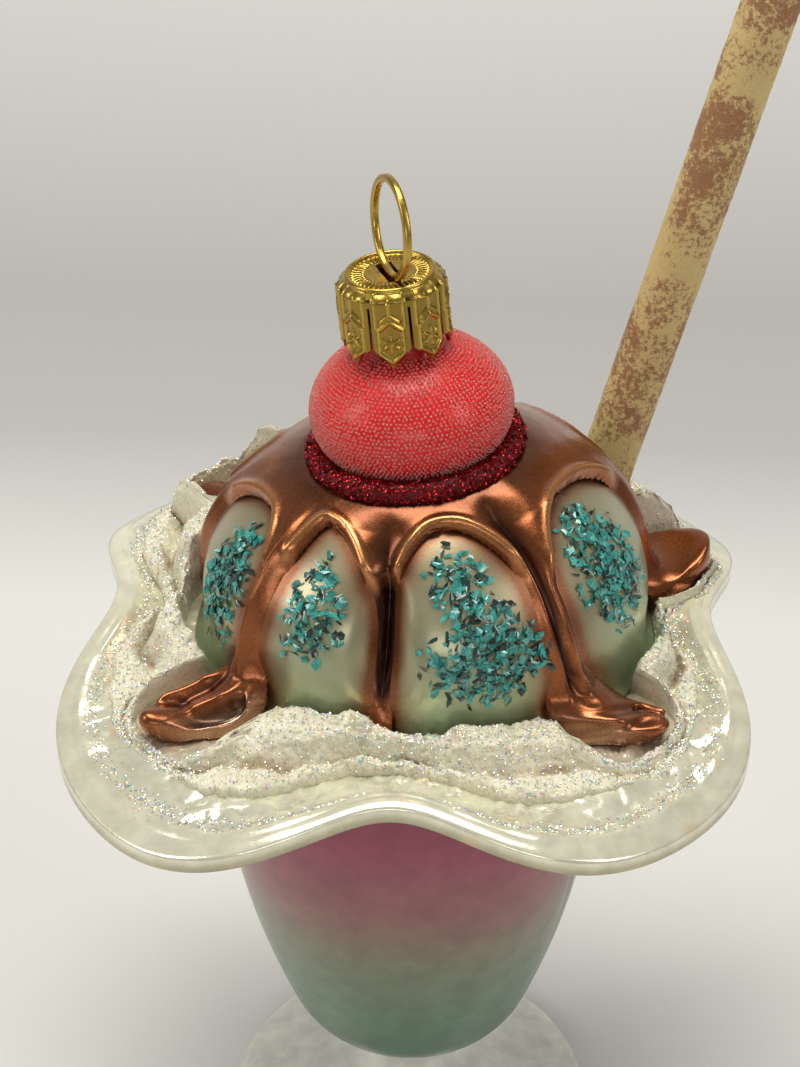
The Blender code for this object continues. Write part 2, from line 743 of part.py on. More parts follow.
def main():
    clear_scene()
    bpy.context.scene.unit_settings.scale_length = 1.0
    sundae = new_collection("sundae_ornament")
    cutters = new_collection("cutters", hidden=True)
    frosted_glass = new_material("silvered_glass", (0.80, 0.76, 0.66), 0.22, 0.35)
    pearl = new_material("pearl_ice_cream", (0.62, 0.62, 0.50), 0.30, 0.35)
    copper = new_material("copper_syrup", (0.42, 0.17, 0.08), 0.28, 0.75)
    cream = new_material("glitter_cream", (0.82, 0.78, 0.68), 0.85)
    red_beads = new_material("red_beads", (0.72, 0.04, 0.05), 0.30)
    red_glitter = new_material("red_glitter", (0.40, 0.01, 0.02), 0.35)
    gold = new_material("gold_metal", (0.83, 0.62, 0.22), 0.25, 1.0)
    wafer = new_material("wafer_tube", (0.62, 0.47, 0.24), 0.75)

    make_dish(sundae, frosted_glass)
    make_ice_cream(sundae, pearl)
    make_syrup(sundae, copper)
    whipped = make_cream(sundae, cream)
    crown = crown_empty()
    cherry = make_cherry(sundae, red_beads)
    collar = make_collar(sundae, red_glitter)
    cap, hole = make_cap(sundae, gold, cutters)
    ring = make_ring(sundae, gold)
    for obj in (cherry, collar, cap, hole, ring):
        obj.parent = crown
    for obj in (cap, hole):
        obj.location.x = CAP_SHIFT
    make_straw(sundae, wafer)
    cut(whipped, make_straw_socket(cutters, wafer))


main()
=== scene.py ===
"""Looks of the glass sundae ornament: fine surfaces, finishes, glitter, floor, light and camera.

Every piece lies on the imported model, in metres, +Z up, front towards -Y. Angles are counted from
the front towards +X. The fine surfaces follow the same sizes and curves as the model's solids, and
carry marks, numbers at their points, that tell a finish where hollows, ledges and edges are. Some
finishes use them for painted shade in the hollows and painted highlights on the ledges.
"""

import math
import random
from functools import partial

import bmesh
import bpy
from mathutils import Euler, Matrix, Vector, kdtree, noise


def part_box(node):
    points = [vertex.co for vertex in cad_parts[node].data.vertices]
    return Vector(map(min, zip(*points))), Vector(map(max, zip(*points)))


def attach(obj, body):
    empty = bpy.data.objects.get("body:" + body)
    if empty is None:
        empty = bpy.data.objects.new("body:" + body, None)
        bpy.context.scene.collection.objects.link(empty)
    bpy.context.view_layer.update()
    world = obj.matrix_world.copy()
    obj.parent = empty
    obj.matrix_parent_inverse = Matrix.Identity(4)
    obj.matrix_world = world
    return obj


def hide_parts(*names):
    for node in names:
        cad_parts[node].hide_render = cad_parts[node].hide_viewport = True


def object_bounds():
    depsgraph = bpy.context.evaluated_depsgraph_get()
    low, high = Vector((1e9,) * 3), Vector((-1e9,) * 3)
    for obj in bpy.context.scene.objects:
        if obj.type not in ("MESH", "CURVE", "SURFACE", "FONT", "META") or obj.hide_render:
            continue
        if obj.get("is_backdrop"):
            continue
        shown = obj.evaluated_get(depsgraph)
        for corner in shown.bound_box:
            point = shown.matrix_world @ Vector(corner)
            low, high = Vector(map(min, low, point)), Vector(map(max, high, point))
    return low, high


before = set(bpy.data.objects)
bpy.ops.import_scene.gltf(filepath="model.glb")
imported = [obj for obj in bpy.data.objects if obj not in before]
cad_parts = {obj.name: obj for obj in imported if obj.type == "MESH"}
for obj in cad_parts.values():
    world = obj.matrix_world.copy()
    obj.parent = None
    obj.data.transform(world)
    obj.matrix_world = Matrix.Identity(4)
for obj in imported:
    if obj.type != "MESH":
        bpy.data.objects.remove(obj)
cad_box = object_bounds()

MM = 0.001
TURN = 2 * math.pi

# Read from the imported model: the outer radius of the collar and of the cap's skirt.
COLLAR_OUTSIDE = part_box("glitter_collar")[1][1]
SKIRT_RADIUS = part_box("ornament_cap")[1][1]

# Foot, stem and bowl of the dish.
FOOT_RADIUS = 26.6 * MM
STEM_RADIUS = 5.6 * MM
BOWL_FLOOR = 20.0 * MM
BOWL_TOP = 80.0 * MM
BOWL_TOP_RADIUS = 27.2 * MM
BOWL_KNOB_RADIUS = 6.8 * MM
BOWL_HIP_RADIUS = 14.6 * MM
BOWL_HIP_RISE = 8.5 * MM
FLUTE_DEPTH = 0.9 * MM
SEAM_ANGLE = math.radians(62)
SEAM_SPREAD = 0.035
SEAM_DEPTH = 0.35 * MM
KNOB_HEIGHT = 18.0 * MM
DISH_COLUMNS = 480
FOOT_STEPS = 5
BOWL_STEPS = 43

# The lip: four drooping lobes on the diagonals, four raised pinches between them, a dent and lumps
# at the right, a roll along its edge, and creases between the roll and the cream.
LIP_RADIUS = 46.0 * MM
LIP_LOBE = 5.3 * MM
LIP_SHARPEN = 1.28 * MM
LIP_HEIGHT = 89.5 * MM
LIP_DROOP = 3.83 * MM
LIP_STRETCH = 1.066
LIP_THICKNESS = 3.0 * MM
LIP_DENT_ANGLE = math.radians(38)
LIP_DENT_SPREAD = math.radians(24)
LIP_DENT_RISE = 1.8 * MM
LIP_DENT_DEPTH = 0.8 * MM
LIP_LUMP_ANGLE = math.radians(52)
LIP_LUMP_SPREAD = math.radians(22)
SHELF_HEIGHT = 90.0 * MM
SHELF_SHARE = 0.80
ROLL_WIDTH = 5.4 * MM
ROLL_HEIGHT = 0.75 * MM
CREASE_DEPTH = 0.85 * MM
CREASE_PITCH = 3.2 * MM
CREASE_ZONE = (4.5 * MM, 14.0 * MM)
FLARE_STEPS = 12
RIM_STEPS = 9
RIM_SHARE = 0.955
RIM_DRIFT = 0.018
TOP_SHARE = 0.972
TOP_PACE = 0.0095
TOP_STEPS = 44

# The ice cream dome.
DOME_RADIUS_X = 28.2 * MM
DOME_RADIUS_Y = 26.6 * MM
DOME_WAIST = 95.5 * MM
DOME_RISE = 22.6 * MM
DOME_POWER = 2.23
DOME_SHIFT = 1.8 * MM
CROWN_RADIUS = 13.9 * MM
PANEL_BULGE = 1.3 * MM
FUNNEL_DEPTH = 2.2 * MM
PANEL_COLUMNS = 48
DOME_STEPS = 69
# Each row of the dome's foot: how far under the waist it is, and how far out.
DOME_FOOT = ((5.6, 1.1), (5.0, 1.4), (4.7, 1.0), (4.4, 0.6), (3.9, 0.3), (3.0, 0.08), (1.5, 0.0))

# Syrup: the angle of each rib, the angle and the reach of its end, and the rib's half width.
RIBS = (
    {"angle": -135, "end_angle": -130, "reach": 42.0, "half_width": 3.6, "ridge": 0.7},
    {"angle": -97, "end_angle": -97, "reach": 28.4, "half_width": 3.0, "ridge": 0.7},
    {"angle": -46, "end_angle": -49.4, "reach": 40.2, "half_width": 2.2, "ridge": 0.9},
    {"angle": -8.5, "end_angle": -8.5, "reach": 27.2, "half_width": 1.5, "ridge": -1.2},
    {"angle": 38, "end_angle": 49.5, "reach": 39.0, "half_width": 2.7, "ridge": 0.9},
    {"angle": 108, "end_angle": 112, "reach": 41.0, "half_width": 4.6, "ridge": 0.8},
    {"angle": 165, "end_angle": 165, "reach": 28.0, "half_width": 3.0, "ridge": 0.7},
)
LEFT_LEG = 2
FUNNEL = 3
RIGHT_LEG = 4
BACK_LEG = 5
# Each panel right of its rib: how far down the dome its arch starts, where across the panel its
# top is, and how far down its sides have drawn together.
PANELS = (
    {"start": 0.30, "apex": 0.50, "arch": 0.42},
    {"start": 0.22, "apex": 0.61, "arch": 0.35},
    {"start": 0.13, "apex": 0.32, "arch": 0.58},
    {"start": 0.115, "apex": 0.47, "arch": 0.38},
    {"start": 0.18, "apex": 0.42, "arch": 0.33},
    {"start": 0.30, "apex": 0.50, "arch": 0.42},
    {"start": 0.30, "apex": 0.50, "arch": 0.42},
)
# Where a rib starts to bend, how thick and wide the syrup is on the dome and on its legs, and how
# its free edges are rounded: crisp at the arches, softer further down.
BEND_START = 0.6
SYRUP_THICKNESS = 1.45 * MM
LEG_THICKNESS = 3.6 * MM
BACK_LEG_BULK = 1.7
WIDER_LEGS = {BACK_LEG: 1.4, RIGHT_LEG: 1.15}
LEG_HALF_WIDTH = 4.7 * MM
LEG_LEAST_END = 1.3
SHELF_RUN = 15.0 * MM
EDGE_ROUNDING = 0.85 * MM
SOFT_ROUNDING = 2.4 * MM
ARCH_LEDGE = 0.16
EDGE_DIP = 0.12 * MM
SYRUP_COLUMNS = 32
SYRUP_ROWS = 110
SYRUP_TOP_ROWS = 22
EDGE_COLUMNS = 60
EDGE_ROWS = 260

# Whipped cream: how far out it reaches, its height in front and behind, and its notches at legs.
CREAM_LIP_SHARE = 0.86
CREAM_MOST_SHARE = 0.97
CREAM_LEAST_WIDTH = 1.8 * MM
CREAM_HEIGHT = 5.8 * MM
CREAM_BACK_LIFT = 9.0 * MM
CREAM_NOTCH = math.radians(13.5)
LEG_DIP_SPREAD = math.radians(15)
SHIN_FALL = 1.35
CREAM_CLEARANCE = 1.2 * MM
CREAM_MOST_HEIGHT = 15.0 * MM
CREAM_FRONT_GAP = 4.8 * MM
CREAM_GRAIN = 0.55 * MM
CREAM_COLUMNS = 660
CREAM_ACROSS = 44
CREAM_UNDER = 4
# Where the cream stands off the dome, and where it peaks: angle, spread and distance in mm.
CREAM_GAPS = ((-82, 22, 2.4), (82, 20, 1.6))
CREAM_PEAKS = ((136, 14, 2.0), (-142, 18, 1.5))

# Cherry, collar, cap and ring lean together to the left. Heights are counted from the crown.
CROWN_HEIGHT = 116.2 * MM
CROWN_SHIFT = 0.6 * MM
LEAN = math.radians(-5.4)
CHERRY_RADIUS = 12.6 * MM
CHERRY_HALF_HEIGHT = 9.1 * MM
CHERRY_CENTRE = 7.2 * MM
NECK_RADIUS = 4.3 * MM
CHERRY_COLUMNS = 96
CHERRY_STEPS = 47
BEAD_PITCH = 0.55 * MM
BEAD_PROUD = 0.14 * MM
BEAD_ROWS_FROM = 0.30
BEAD_ROWS_TO = 2.45
COLLAR_RADIUS = COLLAR_OUTSIDE - 0.75 * MM
COLLAR_HEIGHT = 1.9 * MM
COLLAR_HALF_WIDTH = 1.35 * MM
COLLAR_HALF_HEIGHT = 1.5 * MM
COLLAR_COLUMNS = 260
COLLAR_SIDES = 20
CAP_SHIFT = -0.9 * MM
CAP_TOP = 25.9 * MM
CAP_RADIUS = 5.5 * MM
SKIRT_WALL = 0.45 * MM
LAPPET_COUNT = 8
LAPPET_TIP = 15.9 * MM
LAPPET_CORNER = 18.2 * MM
SHOULDER_TOP = CAP_TOP - 0.35 * MM
SKIRT_TOP = 24.6 * MM
SLOT_TOP = 24.0 * MM
LAPPET_COLUMNS = 46
REEDS = 44
DISC_ROWS = 22
BEND_ROWS = 9
SHOULDER_ROWS = 12
SKIRT_ROWS = 58
INSIDE_ROWS = 6
SLOT_HALF_WIDTH = 0.18 * MM
RING_RADIUS = 5.95 * MM
RING_WIRE = 0.45 * MM
RING_TURN = math.radians(113)
RING_LEAN = math.radians(6.5)
RING_RISE = 5.6 * MM
RING_COLUMNS = 128
RING_SIDES = 16
CAP_HOLE_WIDTH = 2.0 * MM
CAP_HOLE_LENGTH = 5.472 * MM

# Straw.
STRAW_RADIUS = 3.75 * MM
STRAW_BORE = 2.6 * MM
STRAW_BORE_DEPTH = 3.0 * MM
STRAW_LENGTH = 80.0 * MM
STRAW_EDGE = 0.25 * MM
STRAW_ROWS = 190
STRAW_COLUMNS = 90
STRAW_FOOT = Vector((24.0 * MM, 23.3 * MM, 94.6 * MM))
STRAW_AXIS = Vector((0.26, 0.10, 0.96)).normalized()

# The floor runs back from the ornament and bends up into a backdrop; its tones run along Y,
# with a band of painted shade behind the ornament.
FLOOR_DEPTH = 0.5
FLOOR_BEND = 0.35
FLOOR_HALF_WIDTH = 1.6
BACKDROP_HEIGHT = 1.6
FLOOR_TONES_AND_SHADE = ((0.0, 0.74), (0.13, 0.76), (0.20, 0.50), (0.27, 0.48), (0.55, 0.92))

# Each lamp's name, place, size, power and colour.
LAMPS = (
    ("overhead", (-0.05, 0.10, 0.80), (0.50, 0.35), 4.4, (1.0, 0.97, 0.88)),
    ("left", (-0.65, -0.15, 0.45), (0.20, 0.40), 1.3, (1.0, 0.97, 0.90)),
    ("right", (0.60, -0.25, 0.50), (0.20, 0.40), 1.1, (1.0, 0.98, 0.93)),
    ("front", (0.0, -0.80, 0.30), (0.5, 0.15), 0.7, (1.0, 0.98, 0.94)),
)
LAMP_AIM = (0, 0, 0.09)
ROOM_STRENGTH = 0.23

# The camera stands in front, above, and a little to the right.
CAMERA_PLACE = (0.01307, -0.23840, 0.25983)
CAMERA_TILT = math.radians(56.9)
CAMERA_TURN = math.radians(3.5)
CAMERA_LENS = 74.23


# Numbers and points


def smooth_step(value):
    """0 up to 0, 1 from 1 on, and an even ease between them."""
    value = min(max(value, 0.0), 1.0)
    return value * value * (3 - 2 * value)


def between(value, low, high, ease):
    """1 between low and high, easing to 0 over the given distance outside them."""
    return smooth_step((value - low + ease) / ease) * smooth_step((high + ease - value) / ease)


def turned(angle, centre):
    """How far the angle is from the centre, the shorter way round."""
    return (angle - centre + math.pi) % TURN - math.pi


def near(angle, centre, spread):
    """1 at the centre angle, easing to 0 on both sides."""
    return math.exp(-((turned(angle, centre) / spread) ** 2))


def hill(value, centre, spread):
    """1 at the centre, easing to 0 on both sides."""
    return math.exp(-(((value - centre) / spread) ** 2))


def polar(radius, angle, height):
    """A point at this angle from the front, counted towards +X."""
    return Vector((radius * math.sin(angle), -radius * math.cos(angle), height))


def rough(point, pitch, seed=0.0):
    """Even noise from about -1 to 1 whose lumps are about one pitch wide."""
    return noise.noise(point / pitch + Vector((seed, 1.7 * seed, -seed)))


def through(points, steps):
    """Smooth curve through these points, with this many steps for each stretch."""
    found = []
    last = len(points) - 1
    for i in range(last):
        before = Vector(points[max(i - 1, 0)])
        start = Vector(points[i])
        end = Vector(points[i + 1])
        after = Vector(points[min(i + 2, last)])
        for j in range(steps):
            t = j / steps
            bend = (2 * before - 5 * start + 4 * end - after) * t * t
            twist = (3 * start - before - 3 * end + after) * t ** 3
            found.append(0.5 * (2 * start + (end - before) * t + bend + twist))
    found.append(Vector(points[last]))
    return found


# Meshes and pieces


def ring_faces(rows, columns):
    """Quads of a skin whose rows run right round."""
    faces = []
    for j in range(rows - 1):
        for i in range(columns):
            k = (i + 1) % columns
            here = j * columns
            above = here + columns
            faces.append((here + i, here + k, above + k, above + i))
    return faces


def tube_faces(around, sides):
    """Quads of a band or tube that closes on itself: loops of this many sides, joined right round."""
    faces = []
    for i in range(around):
        k = (i + 1) % around
        for j in range(sides):
            n = (j + 1) % sides
            faces.append((i * sides + j, i * sides + n, k * sides + n, k * sides + j))
    return faces


def add_piece(name, points, faces, material, nodes=(), marks=None, smooth=True):
    """A mesh piece on the one body, with a number at each point for each of the named marks."""
    mesh = bpy.data.meshes.new(name)
    mesh.from_pydata([tuple(point) for point in points], [], faces)
    bm = bmesh.new()
    bm.from_mesh(mesh)
    bmesh.ops.recalc_face_normals(bm, faces=bm.faces)
    if bm.calc_volume(signed=True) < 0:
        bmesh.ops.reverse_faces(bm, faces=bm.faces)
    bm.to_mesh(mesh)
    bm.free()
    for mark, values in (marks or {}).items():
        layer = mesh.attributes.new(mark, "FLOAT", "POINT")
        layer.data.foreach_set("value", values)
    if smooth:
        mesh.shade_smooth()
    mesh.materials.append(material)
    piece = bpy.data.objects.new(name, mesh)
    bpy.context.scene.collection.objects.link(piece)
    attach(piece, "root")
    if nodes:
        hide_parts(*nodes)
    return piece


def rows_to_piece(name, rows, material, nodes=(), marks=None):
    """Closed skin through rows of points that run right round, its two ends filled."""
    columns = len(rows[0])
    points = [point for row in rows for point in row]
    faces = ring_faces(len(rows), columns)
    faces.append(tuple(range(columns)))
    faces.append(tuple(range(len(points) - columns, len(points))))
    return add_piece(name, points, faces, material, nodes, marks)


# Faces of a chip for each number of sides: its outline joined to a low point on each side of it.
CHIP_FACES = {
    sides: [(i, (i + 1) % sides, sides) for i in range(sides)]
    + [((i + 1) % sides, i, sides + 1) for i in range(sides)]
    for sides in (3, 4, 5, 6)
}


def add_chip(points, faces, centre, normal, spin, outline, thickness):
    """A thin flat chip: its outline, and a low point over and under the middle."""
    across = normal.orthogonal().normalized()
    across = Matrix.Rotation(spin, 3, normal) @ across
    along = normal.cross(across)
    start = len(points)
    for x, y in outline:
        points.append(centre + across * x + along * y)
    points.append(centre + normal * thickness)
    points.append(centre - normal * thickness)
    faces += [tuple(start + i for i in face) for face in CHIP_FACES[len(outline)]]


def round_outline(radius, sides):
    """Corners of an even flake."""
    return [
        (radius * math.cos(TURN * i / sides), radius * math.sin(TURN * i / sides))
        for i in range(sides)
    ]


# Materials


class Look:
    """A node material with one Principled shader, built up by short calls."""

    def __init__(self, name, **values):
        self.material = bpy.data.materials.new(name)
        self.material.use_nodes = True
        self.tree = self.material.node_tree
        self.shader = self.tree.nodes["Principled BSDF"]
        for key, value in values.items():
            socket = self.shader.inputs[key.replace("_", " ")]
            socket.default_value = (*value, 1.0) if isinstance(value, tuple) else value

    def node(self, kind, **settings):
        """A new node, with the values of its sockets and its own settings."""
        made = self.tree.nodes.new("ShaderNode" + kind)
        for key, value in settings.items():
            if key in made.inputs:
                made.inputs[key].default_value = value
            else:
                setattr(made, key, value)
        return made

    def link(self, source, target):
        self.tree.links.new(source, target)

    def mark(self, name):
        """The number that the piece carries at each of its points."""
        return self.node("Attribute", attribute_name=name).outputs["Fac"]

    def place(self):
        """The place on the piece, in metres."""
        return self.node("TexCoord").outputs["Object"]

    def speckle(self, pitch, detail=2.0, roughness=0.5):
        """Cloudy noise from 0 to 1 whose patches are about one pitch wide."""
        made = self.node("TexNoise", Scale=1 / pitch, Detail=detail, Roughness=roughness)
        self.link(self.place(), made.inputs["Vector"])
        return made.outputs["Fac"]

    def ramp(self, source, *stops):
        """Colours, or greys as plain numbers, at places from 0 to 1."""
        made = self.node("ValToRGB")
        elements = made.color_ramp.elements
        while len(elements) < len(stops):
            elements.new(0.5)
        for element, (place, value) in zip(elements, stops):
            element.position = place
            colour = value if isinstance(value, tuple) else (value, value, value)
            element.color = (*colour, 1.0)
        self.link(source, made.inputs["Fac"])
        return made.outputs["Color"]

    def blend(self, share, low, high, kind="MIX"):
        """The low colour where the share is 0 and the high one where it is 1."""
        made = self.node("Mix", data_type="RGBA", blend_type=kind)
        for socket, value in ((0, share), (6, low), (7, high)):
            if isinstance(value, bpy.types.NodeSocket):
                self.link(value, made.inputs[socket])
            elif isinstance(value, tuple):
                made.inputs[socket].default_value = (*value, 1.0)
            else:
                made.inputs[socket].default_value = value
        return made.outputs[2]

    def math(self, kind, first, second, clamp=False):
        """Sum, difference or product of two numbers, kept from 0 to 1 if asked."""
        made = self.node("Math", operation=kind, use_clamp=clamp)
        for socket, value in enumerate((first, second)):
            if isinstance(value, bpy.types.NodeSocket):
                self.link(value, made.inputs[socket])
            else:
                made.inputs[socket].default_value = value
        return made.outputs[0]

    def bump(self, source, height, strength=1.0):
        """A normal for fine relief, as high as this where the source is 1."""
        made = self.node("Bump", Distance=height, Strength=strength)
        self.link(source, made.inputs["Height"])
        return made.outputs["Normal"]

    def set(self, **sources):
        """Drives the shader's sockets, and gives back the finished material."""
        for key, source in sources.items():
            self.link(source, self.shader.inputs[key.replace("_", " ")])
        return self.material


COPPER_PAINTED_SHADE = (0.045, 0.012, 0.006)
COPPER_BRIGHT = (0.60, 0.25, 0.11)


def dish_look():
    """Silvered glass: pearl foot, sage to crimson bowl and champagne lip, by height marks, with painted
    shade in the lip's creases and on its underside, and painted copper-gold reflections on the lip.
    """
    look = Look("silvered_glass_look", Coat_Weight=0.45, Coat_Roughness=0.10)
    drift = look.speckle(9 * MM, 3.0)
    height = look.math("ADD", look.mark("tint"), look.math("MULTIPLY", drift, 0.06))
    wall = look.ramp(
        height,
        (0.03, (0.60, 0.60, 0.55)),
        (0.10, (0.075, 0.165, 0.10)),
        (0.30, (0.16, 0.28, 0.18)),
        (0.50, (0.26, 0.27, 0.19)),
        (0.66, (0.33, 0.14, 0.14)),
        (0.82, (0.35, 0.065, 0.115)),
        (0.92, (0.28, 0.038, 0.08)),
        (0.99, (0.60, 0.34, 0.34)),
    )
    mottle = look.ramp(look.speckle(3.5 * MM, 5.0, 0.6), (0.35, 0.80), (0.65, 1.0))
    lip = look.blend(
        look.speckle(5 * MM, 4.0, 0.6), (0.98, 0.95, 0.71), (1.0, 0.99, 0.84)
    )
    # Painted shade: the lip's creases turn grey-olive.
    lip = look.blend(look.mark("crease_shade"), lip, (0.66, 0.66, 0.54))
    # Painted shade: the lower half of the lip's rolled edge, which faces down, turns olive.
    lip = look.blend(look.mark("under"), lip, (0.52, 0.47, 0.30))
    # Painted reflection: scattered copper-gold patches on the lip.
    glints = look.ramp(look.speckle(7 * MM, 2.0), (0.60, 0.0), (0.70, 0.45))
    lip = look.blend(glints, lip, (0.80, 0.52, 0.28))
    foot = look.blend(
        look.speckle(6 * MM, 3.0), (0.80, 0.80, 0.73), (0.94, 0.94, 0.88)
    )
    colour = look.blend(look.mark("wall"), foot, wall)
    colour = look.blend(look.mark("lip"), colour, lip)
    colour = look.blend(1.0, colour, mottle, "MULTIPLY")
    colour = look.blend(look.mark("copper"), colour, COPPER_BRIGHT)
    roughness = look.ramp(look.mark("lip"), (0.0, 0.42), (1.0, 0.17))
    metal = look.ramp(look.mark("lip"), (0.0, 0.25), (1.0, 0.45))
    bump = look.bump(look.speckle(1.1 * MM, 4.0, 0.6), 0.05 * MM, 0.5)
    return look.set(Base_Color=colour, Roughness=roughness, Metallic=metal, Normal=bump)


def dome_look():
    """Pearl lacquer with a soft brown overspray towards the syrup's edge."""
    look = Look("pearl_look", Coat_Weight=0.35, Coat_Roughness=0.22)
    grain = look.speckle(0.35 * MM, 3.0, 0.7)
    cloud = look.speckle(7 * MM, 3.0)
    pearl = look.blend(cloud, (0.36, 0.36, 0.22), (0.52, 0.50, 0.33))
    parts = look.node("SeparateXYZ")
    look.link(look.place(), parts.inputs[0])
    low = look.ramp(look.math("MULTIPLY", parts.outputs["Z"], 8.0), (0.74, 1.0), (0.86, 0.0))
    pearl = look.blend(low, pearl, (0.33, 0.42, 0.26))
    spray = look.math("MULTIPLY", look.math("SUBTRACT", grain, 0.5), 0.7)
    tint = look.math(
        "ADD", look.mark("copper"), look.math("MULTIPLY", spray, look.mark("copper")), True
    )
    colour = look.blend(tint, pearl, (0.27, 0.095, 0.038))
    roughness = look.ramp(tint, (0.0, 0.30), (1.0, 0.36))
    metal = look.ramp(tint, (0.0, 0.55), (1.0, 0.80))
    bump = look.bump(grain, 0.02 * MM, 0.5)
    return look.set(Base_Color=colour, Roughness=roughness, Metallic=metal, Normal=bump)


def syrup_look():
    """Copper lacquer, with painted shade in its grooves, its funnel and round the crown, and painted
    highlights along its ledges.
    """
    look = Look("copper_look", Coat_Weight=0.25, Coat_Roughness=0.15)
    grain = look.speckle(0.22 * MM, 3.0, 0.75)
    cloud = look.speckle(5 * MM, 4.0, 0.6)
    body = look.blend(cloud, (0.21, 0.056, 0.018), (0.46, 0.150, 0.052))
    # Painted shade: grooves, the funnel's pocket and the crown round the collar turn dark copper.
    painted_shade = look.mark("painted_shade")
    broken = look.math("MULTIPLY", look.math("SUBTRACT", grain, 0.5), 0.25)
    painted_shade = look.math("ADD", painted_shade, broken, True)
    body = look.blend(painted_shade, body, COPPER_PAINTED_SHADE)
    # Painted highlight: a bright copper band along the arches' upper ledges.
    body = look.blend(look.mark("ledge_highlight"), body, (0.95, 0.44, 0.17))
    body = look.blend(look.mark("fade"), body, (0.74, 0.50, 0.36))
    speck = look.ramp(grain, (0.40, 0.82), (0.60, 1.0))
    colour = look.blend(1.0, body, speck, "MULTIPLY")
    roughness = look.ramp(look.speckle(0.5 * MM, 4.0), (0.3, 0.19), (0.7, 0.31))
    look.shader.inputs["Metallic"].default_value = 0.88
    bump = look.bump(grain, 0.03 * MM, 0.6)
    return look.set(Base_Color=colour, Roughness=roughness, Normal=bump)


def cream_look():
    """Sugary white flock with beige painted shade in its creases and dents, and sparkling coloured points.
    """
    look = Look("cream_look", Roughness=0.75, Sheen_Weight=0.15)
    cells = look.node("TexVoronoi", Scale=1 / (0.42 * MM))
    look.link(look.place(), cells.inputs["Vector"])
    grain = look.speckle(0.5 * MM, 4.0, 0.7)
    cream = look.blend(look.speckle(4 * MM, 3.0), (0.78, 0.73, 0.55), (0.92, 0.88, 0.71))
    # Painted shade: the cream's crease and dents turn beige-brown.
    cream = look.blend(look.mark("painted_shade"), cream, (0.36, 0.28, 0.17))
    dust = look.ramp(grain, (0.30, 0.72), (0.62, 1.0))
    colour = look.blend(1.0, cream, dust, "MULTIPLY")
    tint = look.blend(0.72, cells.outputs["Color"], (0.85, 0.83, 0.78))
    colour = look.blend(0.35, colour, tint, "SOFT_LIGHT")
    bump = look.bump(grain, 0.16 * MM, 0.9)
    return look.set(Base_Color=colour, Normal=bump)


def glitter_look(name, colour, paler=0.5, roughness=0.15, metallic=0.6):
    """Shiny film of one colour, some flakes of it paler than others."""
    look = Look(name + "_look", Metallic=metallic, Roughness=roughness)
    pale = tuple(paler + (1 - paler) * part for part in colour)
    return look.set(Base_Color=look.blend(look.speckle(0.8 * MM), colour, pale))


def shard_look(name, dark, light, transmission, roughness):
    """Broken film whose blades run from a dark to a light tone."""
    look = Look(
        name + "_look",
        Roughness=roughness,
        Transmission_Weight=transmission,
        IOR=1.5,
        Coat_Weight=0.8,
        Coat_Roughness=0.05,
    )
    tone = look.ramp(look.speckle(1.3 * MM, 3.0, 0.7), (0.35, dark), (0.62, light))
    bump = look.bump(look.speckle(0.7 * MM, 3.0), 0.05 * MM, 0.6)
    return look.set(Base_Color=tone, Normal=bump)


def cherry_look():
    """Deep red lacquer, with painted shade towards the collar and on the neck inside the cap."""
    look = Look("cherry_core_look", Roughness=0.35, Coat_Weight=0.3, Coat_Roughness=0.1)
    tone = look.blend(look.speckle(1.2 * MM, 4.0), (0.74, 0.006, 0.008), (0.95, 0.02, 0.02))
    # Painted shade: the bottom by the collar and the neck turn near black.
    tone = look.blend(look.mark("shade"), tone, (0.10, 0.0, 0.004))
    bump = look.bump(look.speckle(0.5 * MM), 0.05 * MM)
    return look.set(Base_Color=tone, Normal=bump)


def bead_look():
    """Clear glass beads that take their red from the cherry under them."""
    look = Look("bead_look", Transmission_Weight=0.8, Roughness=0.04, IOR=1.42)
    tone = look.blend(look.speckle(2 * MM), (1.0, 0.42, 0.38), (1.0, 0.74, 0.71))
    return look.set(Base_Color=tone)


def gold_look():
    """Stamped gilt brass: painted shade in its hollows, slots and inside, faint wear and fine scratches.
    """
    look = Look("gold_look", Metallic=1.0)
    gold = look.blend(look.speckle(2 * MM, 4.0), (0.44, 0.29, 0.05), (0.62, 0.43, 0.105))
    # Painted shade: the cap's hollows, slots and inside turn dark gold.
    gold = look.blend(look.mark("painted_shade"), gold, (0.075, 0.040, 0.006))
    roughness = look.ramp(look.speckle(0.9 * MM, 5.0, 0.7), (0.3, 0.20), (0.7, 0.36))
    bump = look.bump(look.speckle(0.3 * MM, 3.0), 0.015 * MM, 0.5)
    return look.set(Base_Color=gold, Roughness=roughness, Normal=bump)


def straw_look():
    """Matt tan tube with sponged red-brown speckles in loose drifts."""
    look = Look("wafer_look", Roughness=0.72, Coat_Weight=0.08, Coat_Roughness=0.4)
    base = look.blend(look.speckle(6 * MM, 3.0), (0.58, 0.42, 0.17), (0.70, 0.54, 0.25))
    fine = look.speckle(0.7 * MM, 5.0, 0.85)
    drift = look.speckle(8 * MM, 3.0, 0.6)
    drifts = look.math("ADD", fine, look.math("MULTIPLY", drift, 0.9))
    share = look.ramp(drifts, (0.92, 0.0), (1.06, 0.80))
    base = look.blend(share, base, (0.25, 0.075, 0.035))
    pale = look.ramp(look.speckle(0.8 * MM, 4.0, 0.8), (0.60, 0.0), (0.75, 0.5))
    base = look.blend(pale, base, (0.72, 0.60, 0.33))
    bump = look.bump(look.speckle(0.6 * MM, 5.0, 0.7), 0.12 * MM, 0.8)
    return look.set(Base_Color=base, Normal=bump)


# The dish


def lobe_wave(angle):
    """1 at the middle of each lobe of the lip, -1 at each pinch."""
    return math.cos(4 * (angle - math.pi / 4))


